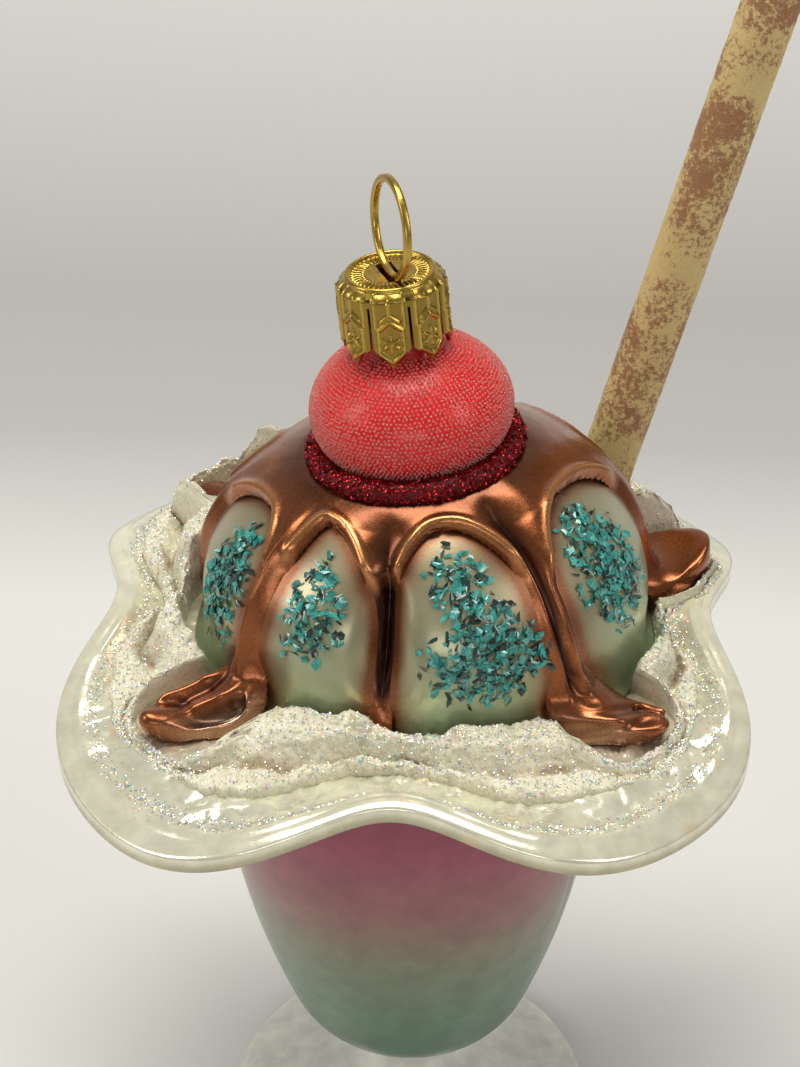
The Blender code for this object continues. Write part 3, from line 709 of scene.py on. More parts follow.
def lip_radius(angle):
    """The lip's radius before it is stretched along Y."""
    even = LIP_RADIUS + LIP_LOBE * lobe_wave(angle) - LIP_SHARPEN * math.cos(8 * angle)
    return even - LIP_DENT_DEPTH * near(angle, LIP_DENT_ANGLE, LIP_DENT_SPREAD)


def lip_height(angle):
    """Height of the lip's upper edge, which droops at the lobes."""
    even = LIP_HEIGHT - LIP_DROOP * lobe_wave(angle)
    return even + LIP_DENT_RISE * near(angle, LIP_DENT_ANGLE, LIP_DENT_SPREAD)


def lip_point(share, angle, height):
    """A point at this share of the way out to the lip's edge."""
    point = polar(share * lip_radius(angle), angle, height)
    point.y *= LIP_STRETCH
    return point


def dish_top(x, y):
    """Height of the dish's upper face: a level shelf that runs out into the wavy lip."""
    angle = math.atan2(x, -y / LIP_STRETCH)
    share = math.hypot(x, y / LIP_STRETCH) / lip_radius(angle)
    run_out = smooth_step((share - SHELF_SHARE) / (1 - SHELF_SHARE))
    return SHELF_HEIGHT + (lip_height(angle) - SHELF_HEIGHT) * run_out


def bowl_point(radius, angle, height):
    """A point of the bowl's wall, which takes up the lip's flutes and stretch as it rises."""
    share = smooth_step((height - BOWL_FLOOR) / (BOWL_TOP - BOWL_FLOOR))
    seams = near(angle, SEAM_ANGLE, SEAM_SPREAD) + near(angle, SEAM_ANGLE - math.pi, SEAM_SPREAD)
    seam = SEAM_DEPTH * share * seams
    point = polar(radius + FLUTE_DEPTH * share * lobe_wave(angle) - seam, angle, height)
    point.y *= 1 + (LIP_STRETCH - 1) * share
    return point


def bowl_radius(height):
    """A round bottom that eases into a nearly straight, slightly flaring wall."""
    rise = (height - BOWL_FLOOR) / (BOWL_TOP - BOWL_FLOOR)
    hip = 1 - min((height - BOWL_FLOOR) / BOWL_HIP_RISE, 1.0)
    bottom = (BOWL_HIP_RADIUS - BOWL_KNOB_RADIUS) * math.sqrt(max(1 - hip * hip, 0.0))
    wall = (BOWL_TOP_RADIUS - BOWL_HIP_RADIUS) * (1 - (1 - rise) ** 2)
    return BOWL_KNOB_RADIUS + bottom + wall


def wrinkles(point, inward):
    """Feathery creases of the silvered lip, strongest between the roll and the cream."""
    zone = between(inward, *CREASE_ZONE, 2.0 * MM)
    angle = math.atan2(point.x, -point.y)
    radius = math.hypot(point.x, point.y)
    twist = rough(point, 8 * MM, 3.0)
    place = Vector((angle * 13 + twist * 3.5, radius / CREASE_PITCH + twist * 4, 0.3))
    crease = 1 - abs(noise.noise(place))
    fine = 1 - abs(noise.noise(place * 2.6 + Vector((twist, 0, 2))))
    patch = smooth_step(0.5 + rough(point, 9 * MM, 12.0))
    return zone * (0.35 + 0.65 * patch) * (0.6 * crease ** 4 + 0.4 * fine ** 4)


def dish_top_point(share, angle):
    """(point, crease mark) of the dish's upper face, with the lip's roll, lumps and creases."""
    point = lip_point(share, angle, 0)
    rim = lip_point(1.0, angle, 0)
    inward = math.hypot(rim.x, rim.y) - math.hypot(point.x, point.y)
    crease = wrinkles(point, inward)
    right_lobe = near(angle, LIP_LUMP_ANGLE, LIP_LUMP_SPREAD)
    lumps = (0.14 + 0.45 * right_lobe) * rough(point, 5 * MM, 19.0)
    lumps *= MM * smooth_step(inward / (3 * MM))
    roll = ROLL_HEIGHT * hill(inward, 0.62 * ROLL_WIDTH, 0.42 * ROLL_WIDTH)
    sunk = CREASE_DEPTH * (crease - 0.3 * (crease > 0))
    point.z = dish_top(point.x, point.y) + roll + lumps - sunk
    return point, crease


def foot_rows(angles):
    """Foot, stem and the knob under the bowl, from the floor up."""
    profile = (
        (0.90 * FOOT_RADIUS, 0.0, 0),
        (0.985 * FOOT_RADIUS, 0.5 * MM, 0),
        (FOOT_RADIUS, 1.5 * MM, 0),
        (0.965 * FOOT_RADIUS, 2.6 * MM, 0),
        (0.62 * FOOT_RADIUS, 4.6 * MM, 0),
        (0.33 * FOOT_RADIUS, 8.0 * MM, 0),
        (STEM_RADIUS, 12.0 * MM, 0),
        (BOWL_KNOB_RADIUS, 15.5 * MM, 0),
        (1.05 * BOWL_KNOB_RADIUS, KNOB_HEIGHT, 0),
    )
    rows = []
    for radius, height, _ in through(profile, FOOT_STEPS):
        rows.append([polar(radius, angle, max(height, 0.0)) for angle in angles])
    return rows


def bowl_rows(angles):
    """The bowl's wall, its rows closer together at the round bottom."""
    rows = []
    for step in range(BOWL_STEPS + 1):
        height = BOWL_FLOOR + (BOWL_TOP - BOWL_FLOOR) * (step / BOWL_STEPS) ** 1.5
        rows.append([bowl_point(bowl_radius(height), angle, height) for angle in angles])
    return rows


def flare_rows(angles):
    """The lip's lower face, which curves out from the top of the bowl."""
    rows = []
    for step in range(1, FLARE_STEPS + 1):
        turn = step / FLARE_STEPS * math.pi / 2
        row = []
        for angle in angles:
            wall = bowl_point(BOWL_TOP_RADIUS, angle, BOWL_TOP)
            edge = lip_point(RIM_SHARE, angle, lip_height(angle) - LIP_THICKNESS)
            out = wall.lerp(edge, 1 - math.cos(turn))
            out.z = wall.z + (edge.z - wall.z) * math.sin(turn)
            row.append(out)
        rows.append(row)
    return rows


def rim_rows(angles):
    """The lip's round edge, from its lower to its upper face."""
    rows = []
    for step in range(1, RIM_STEPS):
        turn = math.pi * step / RIM_STEPS
        share = RIM_SHARE + (1 - RIM_SHARE) * math.sin(turn) ** 0.7
        share += RIM_DRIFT * step / RIM_STEPS
        drop = LIP_THICKNESS * (0.5 + 0.5 * math.cos(turn))
        rows.append([lip_point(min(share, 1.0), a, lip_height(a) - drop) for a in angles])
    return rows


def dish_marks(rows, flare_row, top_row, syrup_edge):
    """Marks of wall, tint, lip, painted underside shade and copper, for rows that run from the foot to the
    top.
    """
    marks = {name: [] for name in ("wall", "tint", "lip", "under", "copper")}
    for index, row in enumerate(rows):
        on_top = index > top_row
        for point in row:
            edge = lip_height(math.atan2(point.x, -point.y / LIP_STRETCH))
            risen = point.z - edge + LIP_THICKNESS
            rim = smooth_step((risen + 1.2 * MM) / (1.4 * MM)) if index >= flare_row else 0.0
            # Painted shade on the lip's lower face, below its upper edge.
            under = smooth_step((edge - 0.5 * MM - point.z) / (1.6 * MM)) if index < top_row else 0.0
            distance = syrup_edge.find(point)[2] if on_top else 1.0
            marks["wall"].append(smooth_step((point.z - KNOB_HEIGHT) / (3 * MM)))
            marks["tint"].append((point.z - KNOB_HEIGHT) / (70 * MM))
            marks["lip"].append(1.0 if on_top else rim)
            marks["under"].append(under)
            marks["copper"].append(0.75 * math.exp(-distance / (0.9 * MM)))
    return marks


def make_dish(syrup_edge):
    """Foot, bowl and lip as one skin, closed under the dome."""
    angles = [TURN * i / DISH_COLUMNS for i in range(DISH_COLUMNS)]
    rows = foot_rows(angles) + bowl_rows(angles)
    flare_row = len(rows) + FLARE_STEPS // 2
    rows += flare_rows(angles) + rim_rows(angles)
    top_row = len(rows) + 1
    creases = [0.0] * (len(rows) * DISH_COLUMNS)
    for step in range(TOP_STEPS):
        found = [dish_top_point(TOP_SHARE - TOP_PACE * step, angle) for angle in angles]
        rows.append([point for point, _ in found])
        creases += [crease for _, crease in found]
    marks = dish_marks(rows, flare_row, top_row, syrup_edge)
    # The crease depth also carries painted shade for the lip.
    marks["crease_shade"] = creases
    rows_to_piece("silvered_dish", rows, dish_look(), ["glass_dish"], marks)


# The dome of ice cream


def rib_angle(index):
    """Angle of a rib, which goes on counting past the last one into the next turn."""
    turns, place = divmod(index, len(RIBS))
    return math.radians(RIBS[place]["angle"]) + TURN * turns


def panel_wave(angle):
    """1 in the middle of a panel, and at a rib its ridge, or for a groove a negative value."""
    first = rib_angle(0)
    angle = (angle - first) % TURN + first
    for i in range(len(RIBS)):
        left = rib_angle(i)
        right = rib_angle(i + 1)
        if left <= angle <= right:
            middle = math.sin(math.pi * (angle - left) / (right - left))
            ridge_left = RIBS[i]["ridge"]
            ridge_right = RIBS[(i + 1) % len(RIBS)]["ridge"]
            ridge = ridge_left if angle - left < right - angle else ridge_right
            return middle + ridge * (1 - middle) ** 2
    return 0.0


def dome_point(angle, fall, lift=0.0):
    """Point of the dome's side: fall is 0 at the crown's edge and 1 at the waist."""
    crown_turn = math.asin((CROWN_RADIUS / DOME_RADIUS_X) ** (DOME_POWER / 2))
    turn = crown_turn + (math.pi / 2 - crown_turn) * min(fall, 1.0)
    out = math.sin(turn) ** (2 / DOME_POWER)
    up = max(math.cos(turn), 0.0) ** (2 / DOME_POWER)
    bulge = math.sin(math.pi * min(max(fall, 0.0), 1.0) ** 1.3 * 0.72)
    funnel = near(angle, rib_angle(FUNNEL), 0.10) * between(fall, 0.52, 0.76, 0.24)
    swell = PANEL_BULGE * panel_wave(angle) * bulge - FUNNEL_DEPTH * funnel
    radius_x = DOME_RADIUS_X * out + swell + lift * out
    radius_y = DOME_RADIUS_Y * out + swell + lift * out
    shift = DOME_SHIFT * (1 - (up / 0.92) ** 5)
    height = DOME_WAIST + (DOME_RISE + lift) * up
    height += math.sin(LEAN) * -radius_x * math.sin(angle) * max(1 - fall, 0.0) ** 2
    return Vector((radius_x * math.sin(angle) + shift, -radius_y * math.cos(angle), height))


def panel_angles(per_panel):
    """Angles right round, with a column on each rib."""
    angles = []
    for i in range(len(RIBS)):
        left = rib_angle(i)
        width = rib_angle(i + 1) - left
        angles += [left + width * j / per_panel for j in range(per_panel)]
    return angles


def make_dome(syrup_edge):
    """The dome, with a small turned-out foot where it meets the shelf."""
    angles = panel_angles(PANEL_COLUMNS)
    rows = []
    for drop, spread in DOME_FOOT:
        row = []
        for angle in angles:
            waist = dome_point(angle, 1.0)
            out = Vector((waist.x, waist.y, 0)).normalized() * spread * MM
            row.append(Vector((waist.x, waist.y, waist.z - drop * MM)) + out)
        rows.append(row)
    for step in range(DOME_STEPS + 1):
        rows.append([dome_point(angle, 1 - step / DOME_STEPS) for angle in angles])
    coppers = []
    for row in rows:
        for point in row:
            distance = syrup_edge.find(point)[2]
            spray = 0.62 * hill(distance, 0.0, 1.1 * MM) + 0.50 * hill(distance, 0.0, 3.2 * MM)
            coppers.append(min(spray, 1.0))
    marks = {"copper": coppers}
    rows_to_piece("pearl_dome", rows, dome_look(), ["ice_cream"], marks)


# The syrup


def flow_point(angle, fall, lift):
    """The dome's side down to its waist, then the dish's shelf, as one continuous surface."""
    if fall <= 1.0:
        return dome_point(angle, fall, lift)
    waist = dome_point(angle, 1.0, lift)
    run = SHELF_RUN * (fall - 1) ** 1.25
    out = Vector((waist.x, waist.y, 0)).normalized()
    point = waist + out * run
    foot = dish_top(point.x, point.y) + lift
    point.z = foot + (waist.z - foot) * math.exp(-run / (1.5 * MM))
    return point


def rib_end_fall(rib):
    """The fall at the rib's tip: over 1 where it runs out on the shelf."""
    waist = dome_point(math.radians(rib["end_angle"]), 1.0)
    reach = max(rib["reach"] * MM - math.hypot(waist.x, waist.y), 0.0)
    return 1.0 + (reach / SHELF_RUN) ** 0.8


ENDS = [rib_end_fall(rib) for rib in RIBS]


def has_leg(index):
    """Whether this rib runs out over the shelf, past the dome's own foot."""
    return ENDS[index] > LEG_LEAST_END


def middle_angle(index, fall):
    """Angle of the rib's middle line, which bends towards the end of its leg."""
    rib = RIBS[index]
    turn = smooth_step((fall - BEND_START) / (ENDS[index] - BEND_START))
    return math.radians(rib["angle"] + (rib["end_angle"] - rib["angle"]) * turn)


def apex_angle(index):
    """Angle of the top of the arch over the panel right of this rib."""
    left = rib_angle(index)
    return left + (rib_angle(index + 1) - left) * PANELS[index % len(PANELS)]["apex"]


def half_width_at(index, fall, room, panel):
    """Half the rib's angle: all the room at the arches' tops, narrow below, wide on the shelf."""
    radius = DOME_RADIUS_X + SHELF_RUN * max(fall - 1, 0.0) ** 1.25
    narrow = RIBS[index]["half_width"] * MM / radius
    if has_leg(index):
        foot = LEG_HALF_WIDTH * WIDER_LEGS.get(index, 1.0) / radius
        narrow += (foot - narrow) * smooth_step((fall - 0.86) / 0.3)
    opening = min(max((fall - panel["start"]) / panel["arch"], 0.0), 1.0)
    arch = math.sqrt(max(1 - (1 - opening) ** 2, 0.0))
    return room + (narrow - room) * arch


def tongue(index, columns, rows):
    """Grid of (angle, fall, side) of one rib, from the arches' tops to the tip of its leg."""
    centre = rib_angle(index)
    end = ENDS[index]
    tip_roundness = 0.19 if has_leg(index) else 0.04
    rooms = (centre - apex_angle(index - 1), apex_angle(index) - centre)
    panels = (PANELS[index - 1], PANELS[index])
    grid = []
    for j in range(rows + 1):
        share = j / rows
        line = []
        for i in range(columns + 1):
            side = 2 * i / columns - 1
            rounded = 1 - tip_roundness * side ** 2
            rise = panels[1]["start"] - panels[0]["start"]
            start = panels[0]["start"] + rise * smooth_step((side + 1) / 2)
            fall = start + (end * rounded - start) * share
            right = side > 0
            width = half_width_at(index, fall, rooms[right], panels[right])
            line.append((middle_angle(index, fall) + side * width, fall, side))
        grid.append(line)
    return grid


def leaf(side, along, centre, half_width, half_length):
    """Distance from the outline of a leaf shape: under 1 inside it."""
    return math.hypot((side - centre[0]) / half_width, (along - centre[1]) / half_length)


def leg_relief(index, side, along):
    """Ridges, folds and pockets of a leg, along running from its root to its tip."""
    if index == LEFT_LEG:
        ridge = 0.8 * hill(side, -0.62, 0.13) * between(along, -0.3, 0.55, 0.3)
        groove = -0.9 * hill(side, -0.30, 0.20) * between(along, -0.2, 0.50, 0.25)
        inside = leaf(side, along, (0.52, 0.36), 0.25, 0.30)
        pocket = -1.6 * smooth_step(1.25 - inside) + 0.45 * hill(inside, 1.25, 0.28)
        at_tip = leaf(side, along, (0.0, 0.80), 0.42, 0.18)
        drop = hill(at_tip, 0.0, 1.0) - 0.5 * hill(at_tip, 1.5, 0.4)
        return ridge + groove + pocket + drop
    if index == RIGHT_LEG:
        crack = -1.0 * hill(side, 0.60 - 0.15 * along, 0.10) * between(along, 0.50, 0.86, 0.15)
        folds = 0.30 * math.sin(8 * along + 4 * side) * between(along, 0.15, 0.8, 0.2)
        folds += 0.14 * math.sin(15 * along - 6 * side + 1) * between(along, 0.2, 0.9, 0.2)
        ring = 0.4 * hill(leaf(side, along, (0.02, 0.04), 0.24, 0.08), 1.0, 0.4)
        shoulder = 0.5 * hill(side, -0.35, 0.3) * between(along, 0.05, 0.45, 0.2)
        return crack + folds + ring + shoulder
    return 0.25 * math.sin(5 * along + 3 * side) * between(along, 0.1, 0.8, 0.3)


def rib_relief(index, side, fall):
    """Folds of the syrup where it runs down the dome."""
    if index == FUNNEL:
        return -0.95 * hill(side, 0.0, 0.6) * between(fall, 0.26, 0.9, 0.25)
    if index == RIGHT_LEG:
        fold = -1.15 * hill(side, -0.15, 0.24) * between(fall, 0.20, 0.92, 0.2)
        return fold + 0.45 * hill(side, 0.45, 0.3) * between(fall, 0.1, 0.95, 0.2)
    if index == LEFT_LEG:
        return 0.55 * hill(side, -0.05, 0.35) * between(fall, 0.25, 0.95, 0.2)
    return 0.3 * hill(side, 0.0, 0.4) * between(fall, 0.3, 0.95, 0.2)


def leg_fade(index, fall, side):
    """How far the copper thins out to pearl, on the side of a front leg that faces the dome."""
    if index not in (LEFT_LEG, RIGHT_LEG):
        return 0.0
    towards = side if index == LEFT_LEG else -side
    return 0.65 * smooth_step((towards - 0.20) / 0.75) * smooth_step((fall - 1.02) / 0.2)


def make_edge_tree():
    """The syrup's free edge, as a tree of points for measuring distances from it."""
    found = []
    for index in range(len(RIBS)):
        grid = tongue(index, EDGE_COLUMNS, EDGE_ROWS)
        edge = [row[0] for row in grid] + [row[-1] for row in grid] + grid[-1]
        found += [flow_point(angle, fall, 0.0) for angle, fall, _ in edge]
    tree = kdtree.KDTree(len(found))
    for i, point in enumerate(found):
        tree.insert(point, i)
    tree.balance()
    return tree


def syrup_lift(index, angle, fall, side, edge_tree):
    """(thickness, painted shade mark for its grooves, distance from the edge) of the syrup at one place of
    a rib.
    """
    end = ENDS[index]
    base = flow_point(angle, fall, 0.0)
    distance = edge_tree.find(base)[2]
    leg, tip, along = 0.0, 0.0, 0.0
    if has_leg(index):
        leg = smooth_step((fall - 0.9) / 0.25)
        tip = smooth_step((end - fall) / (0.5 if index == BACK_LEG else 0.22))
        along = (fall - 1.0) / (end - 1.0)
    mound = leg * (1 - 0.75 * side * side) * (0.45 + 0.55 * tip)
    mound *= 1 + BACK_LEG_BULK * tip * (index == BACK_LEG)
    thick = SYRUP_THICKNESS + (LEG_THICKNESS - SYRUP_THICKNESS) * mound
    thick *= 1 - 0.8 * leg_fade(index, fall, side)
    relief = rib_relief(index, side, fall) * (1 - leg) + leg_relief(index, side, along) * leg
    arch_end = PANELS[index if side > 0 else index - 1]["start"] + ARCH_LEDGE
    soft = smooth_step((fall - arch_end) / ARCH_LEDGE)
    bead = 0.42 * hill(distance, 1.15 * MM, 0.55 * MM) * (1 - leg) * (1 - soft)
    wavy = 0.14 * rough(base, 6 * MM, 2.0) + 0.05 * rough(base, 2.2 * MM, 5.0)
    soft *= 1 - leg
    thick += (relief + bead + wavy - 0.25 * soft) * MM
    rise = min(distance / (EDGE_ROUNDING * (1 + 0.8 * leg)), 1.0)
    crisp = math.sqrt(max(1 - (1 - rise) ** 2, 0.0))
    eased = smooth_step(distance / SOFT_ROUNDING)
    rounded = crisp + (eased - crisp) * soft
    # Painted shade, deepest where the syrup's folds sink lowest.
    painted_shade = min(0.9 * max(-relief, 0.0), 1.0)
    return -EDGE_DIP + (thick + EDGE_DIP) * rounded, painted_shade, distance


def make_syrup(edge_tree):
    """The ribs' tongues, joined to a cap of rows that runs up under the collar."""
    grids = [tongue(index, SYRUP_COLUMNS, SYRUP_ROWS) for index in range(len(RIBS))]
    loop = [(t, i) for t in range(len(RIBS)) for i in range(SYRUP_COLUMNS)]
    points, faces, index_of = [], [], {}
    marks = {"painted_shade": [], "ledge_highlight": [], "fade": []}

    def put(key, index, angle, fall, side):
        """Adds the point and its marks, unless a neighbour has already added them."""
        if key in index_of:
            return
        lift, painted_shade, distance = syrup_lift(index, angle, fall, side, edge_tree)
        index_of[key] = len(points)
        points.append(flow_point(angle, fall, lift))
        # Painted shade in the funnel's pocket and round the crown under the collar.
        funnel_shade = 1.3 * near(angle, rib_angle(FUNNEL), 0.09) * between(fall, 0.56, 0.84, 0.16)
        shade = 0.55 * smooth_step((0.16 - fall) / 0.16)
        # Painted highlight along the upper ledges, just inside the syrup's edge.
        ledge_highlight = 0.6 * hill(distance, 1.1 * MM, 0.5 * MM) * smooth_step((0.5 - fall) / 0.2)
        marks["painted_shade"].append(min(painted_shade + funnel_shade + shade, 1.0))
        marks["ledge_highlight"].append(ledge_highlight)
        marks["fade"].append(leg_fade(index, fall, side))

    def rib_key(t, j, i):
        """Neighbouring tongues share the corner between them."""
        return ((t + 1) % len(RIBS), 0, 0) if (j, i) == (0, SYRUP_COLUMNS) else (t, j, i)

    def top_key(j, t, i):
        """The last row of the top is the first row of the tongues."""
        return ("top", j, t, i) if j < SYRUP_TOP_ROWS else (t, 0, i)

    for t, grid in enumerate(grids):
        for j, line in enumerate(grid):
            for i, (angle, fall, side) in enumerate(line):
                put(rib_key(t, j, i), t, angle, fall, side)
        for j in range(SYRUP_ROWS):
            for i in range(SYRUP_COLUMNS):
                corners = ((j, i), (j, i + 1), (j + 1, i + 1), (j + 1, i))
                faces.append([index_of[rib_key(t, *corner)] for corner in corners])
    for j in range(SYRUP_TOP_ROWS):
        for t, i in loop:
            angle, start, side = grids[t][0][i]
            put(top_key(j, t, i), t, angle, start * j / SYRUP_TOP_ROWS, side)
    hub = len(points)
    points.append(sum((points[index_of[top_key(0, *place)]] for place in loop), Vector()) / len(loop))
    # The hub under the collar gets full painted shade.
    for name, value in (("painted_shade", 1.0), ("ledge_highlight", 0.0), ("fade", 0.0)):
        marks[name].append(value)
    for here, beside in zip(loop, loop[1:] + loop[:1]):
        for j in range(SYRUP_TOP_ROWS):
            quad = (top_key(j, *here), top_key(j, *beside), top_key(j + 1, *beside), top_key(j + 1, *here))
            faces.append([index_of[key] for key in quad])
        faces.append([hub, index_of[top_key(0, *beside)], index_of[top_key(0, *here)]])
    add_piece("copper_syrup", points, faces, syrup_look(), ["syrup"], marks)


# The whipped cream


def leg_tip_radius(index):
    """How far the tip of a leg is from the middle of the dish."""
    tip = flow_point(math.radians(RIBS[index]["end_angle"]), ENDS[index], 0.0)
    return math.hypot(tip.x, tip.y)


def shin_angle(index):
    """Angle of the middle of a leg, part of the way out over the shelf."""
    shin = flow_point(middle_angle(index, SHIN_FALL), SHIN_FALL, 0.0)
    return math.atan2(shin.x, -shin.y)


def notch_depth(index, angle):
    """1 at the middle of a leg, 0 beyond the notch that it leaves in the cream."""
    distance = turned(angle, shin_angle(index))
    return max(1 - (distance / CREAM_NOTCH) ** 4, 0.0) ** 0.5


def leg_dip(angle):
    """1 over a front leg and less over a back one, easing to 0 on both sides of it."""
    found = 0.0
    for index in range(len(RIBS)):
        if has_leg(index):
            depth = 1.0 if index in (LEFT_LEG, RIGHT_LEG) else 0.4
            found = max(found, depth * near(angle, shin_angle(index), LEG_DIP_SPREAD))
    return found


def bumps(angle, places):
    """Sum of the bumps in metres at this angle, from their angles, spreads and heights in mm."""
    return sum(
        size * MM * near(angle, math.radians(centre), math.radians(spread))
        for centre, spread, size in places
    )


def cream_edges(angle):
    """Inner and outer radius of the band at this angle."""
    rim = lip_point(1.0, angle, 0)
    outer = CREAM_LIP_SHARE * math.hypot(rim.x, rim.y)
    outer -= CREAM_FRONT_GAP * near(angle, 0.0, math.radians(36))
    dome = dome_point(angle, 1.0)
    inner = math.hypot(dome.x, dome.y) + 0.5 * MM + bumps(angle, CREAM_GAPS)
    for index, rib in enumerate(RIBS):
        if has_leg(index):
            notch = notch_depth(index, angle)
            inner += (leg_tip_radius(index) + CREAM_CLEARANCE - inner) * notch
            outer = max(outer, inner + 2.4 * MM * notch)
        else:
            inner += 0.6 * MM * near(angle, math.radians(rib["angle"]), math.radians(8))
    lumps = 0.5 * math.sin(9 * angle + 0.6) + 0.4 * math.sin(14 * angle + 2.1)
    lumps += 0.5 * rough(polar(1.0, angle, 0.0), 0.07, 4.0)
    outer = min(outer + lumps * MM, CREAM_MOST_SHARE * math.hypot(rim.x, rim.y))
    return min(inner, outer - CREAM_LEAST_WIDTH), outer


def quarter_round(distance, radius):
    """0 at an edge, rising to 1 as a quarter circle over this radius."""
    return math.sqrt(max(1 - (1 - min(distance / radius, 1.0)) ** 2, 0.0))


def cream_section(place, step_place, width):
    """(share of the height, painted shade mark) across the band: an upper lump, a crease, an apron."""
    edges = quarter_round(place * width, 0.9 * MM) * quarter_round((1 - place) * width, 0.5 * MM)
    to_step = place / step_place
    upper = 0.92 - 0.42 * to_step ** 1.3 + 0.10 * math.sin(math.pi * min(to_step, 1.0))
    lower = 0.20 + 0.16 * math.sin(math.pi * (place - step_place) / (1 - step_place))
    join = smooth_step((place - step_place + 0.20) / 0.28)
    crease = hill(place, step_place + 0.05, 0.09)
    return (upper + (lower - upper) * join - 0.12 * crease) * edges, crease


def cream_height(angle, width):
    """Height of the band: low in front, high at the back and dipped over the legs."""
    back = (1 - math.cos(angle)) / 2
    height = CREAM_HEIGHT + CREAM_BACK_LIFT * back ** 1.8
    height *= 0.35 + 0.65 * smooth_step(width / (7 * MM))
    height *= 1 - 0.68 * leg_dip(angle)
    height = min(height + bumps(angle, CREAM_PEAKS), CREAM_MOST_HEIGHT)
    around = polar(30 * MM, angle, 0.0)
    return height * (1 + 0.18 * rough(around, 6 * MM, 1.0) + 0.09 * rough(around, 3 * MM, 6.0))


def cream_loop(angle):
    """(points, painted shade marks) of one loop round the band's section, its upper face first."""
    inner, outer = cream_edges(angle)
    height = cream_height(angle, outer - inner)
    around = polar(30 * MM, angle, 0.0)
    step_place = 0.55 + 0.22 * rough(around, 5 * MM, 9.0)
    patch = 0.9 + 2.2 * rough(around, 4 * MM, 21.0)
    points, hollows = [], []
    for j in range(CREAM_ACROSS + 1):
        place = j / CREAM_ACROSS
        share, crease = cream_section(place, step_place, outer - inner)
        point = polar(inner + (outer - inner) * place, angle, 0.0)
        lumps = 0.12 * rough(point, 2.4 * MM, 7.0) + 0.07 * rough(point, 1.1 * MM, 8.0)
        rise = (share + lumps * min(share * 2.5, 1.0)) * height
        point.z = dish_top(point.x, point.y) - 0.15 * MM + max(rise, 0.0)
        grain = 0.34 * MM * min(max(rise / (0.5 * MM), 0.0), 1.0)
        points.append(point + grain * Vector([rough(point, CREAM_GRAIN, seed) for seed in (11, 13, 17)]))
        # Painted shade in the crease and in the dents between lumps.
        dent = 0.26 * smooth_step(-lumps * 5)
        hollows.append(max(min(crease * patch + dent, 1.0), 0.0))
    for j in range(1, CREAM_UNDER):
        point = polar(outer + (inner - outer) * j / CREAM_UNDER, angle, 0.0)
        point.z = dish_top(point.x, point.y) - 0.5 * MM
        points.append(point)
        hollows.append(0.0)
    return points, hollows


def make_cream():
    """The band of cream; gives back its upper face as rows of points."""
    loops = [cream_loop(TURN * i / CREAM_COLUMNS) for i in range(CREAM_COLUMNS)]
    points = [point for loop, _ in loops for point in loop]
    marks = {"painted_shade": [value for _, hollows in loops for value in hollows]}
    faces = tube_faces(CREAM_COLUMNS, CREAM_ACROSS + CREAM_UNDER)
    add_piece("whipped_band", points, faces, cream_look(), ["whipped_cream"], marks)
    return [loop[:CREAM_ACROSS + 1] for loop, _ in loops]


# Glitter and shards


# Each colour of glitter, with its share of the flakes.
GLITTER = (
    ("gold_glitter", (0.95, 0.78, 0.30), 0.24),
    ("silver_glitter", (0.92, 0.94, 0.96), 0.30),
    ("blue_glitter", (0.30, 0.42, 0.85), 0.14),
    ("green_glitter", (0.35, 0.85, 0.62), 0.16),
    ("pink_glitter", (0.90, 0.45, 0.62), 0.16),
)
CREAM_GLITTER = 14000
LIP_GLITTER = 4200
COLLAR_GLITTER = 5200
LIP_LINE = 4.6
CHIP_THICKNESS = 0.05 * MM


def tilted(normal, amount, draw):
    """The normal, knocked askew by this amount."""
    tilt = Vector((draw.gauss(0, amount), draw.gauss(0, amount), draw.gauss(0, amount)))
    return (normal + tilt).normalized()


def cream_spots(cream, draw):
    """Places and normals on the cream, more of them on its apron."""
    for _ in range(CREAM_GLITTER):
        i = draw.randrange(len(cream))
        j = min(int(len(cream[0]) * draw.random() ** 0.85), len(cream[0]) - 2)
        k = (i + 1) % len(cream)
        here = cream[i][j]
        normal = (cream[k][j] - here).cross(cream[i][j + 1] - here)
        if normal.length == 0:
            continue
        normal.normalize()
        yield here, normal if normal.z > 0 else -normal


def lip_spots(draw):
    """Places and normals along the glitter line inside the lip's roll."""
    for _ in range(LIP_GLITTER):
        angle = draw.uniform(0, TURN)
        drift = 0.4 * rough(polar(1.0, angle, 0.0), 0.3, 30.0)
        inward = (LIP_LINE + drift + draw.gauss(0, 0.62)) * MM
        share = 1 - inward / lip_radius(angle)
        point, _ = dish_top_point(share, angle)
        yield point, Vector((0, 0, 1))


def make_glitter(cream):
    """Flakes of five colours over the cream and along the lip."""
    draw = random.Random(7)
    parts = [([], []) for _ in GLITTER]
    shares = [share for _, _, share in GLITTER]
    for spots in (cream_spots(cream, draw), lip_spots(draw)):
        for point, normal in spots:
            points, faces = draw.choices(parts, shares)[0]
            size = draw.uniform(0.11, 0.19) * MM
            facing = tilted(normal, 0.35, draw)
            spin = draw.uniform(0, TURN)
            centre = point + facing * CHIP_THICKNESS
            add_chip(points, faces, centre, facing, spin, round_outline(size, 4), CHIP_THICKNESS)
    for (name, colour, _), (points, faces) in zip(GLITTER, parts):
        add_piece(name, points, faces, glitter_look(name, colour), smooth=False)


DARK_SHARE = 0.32
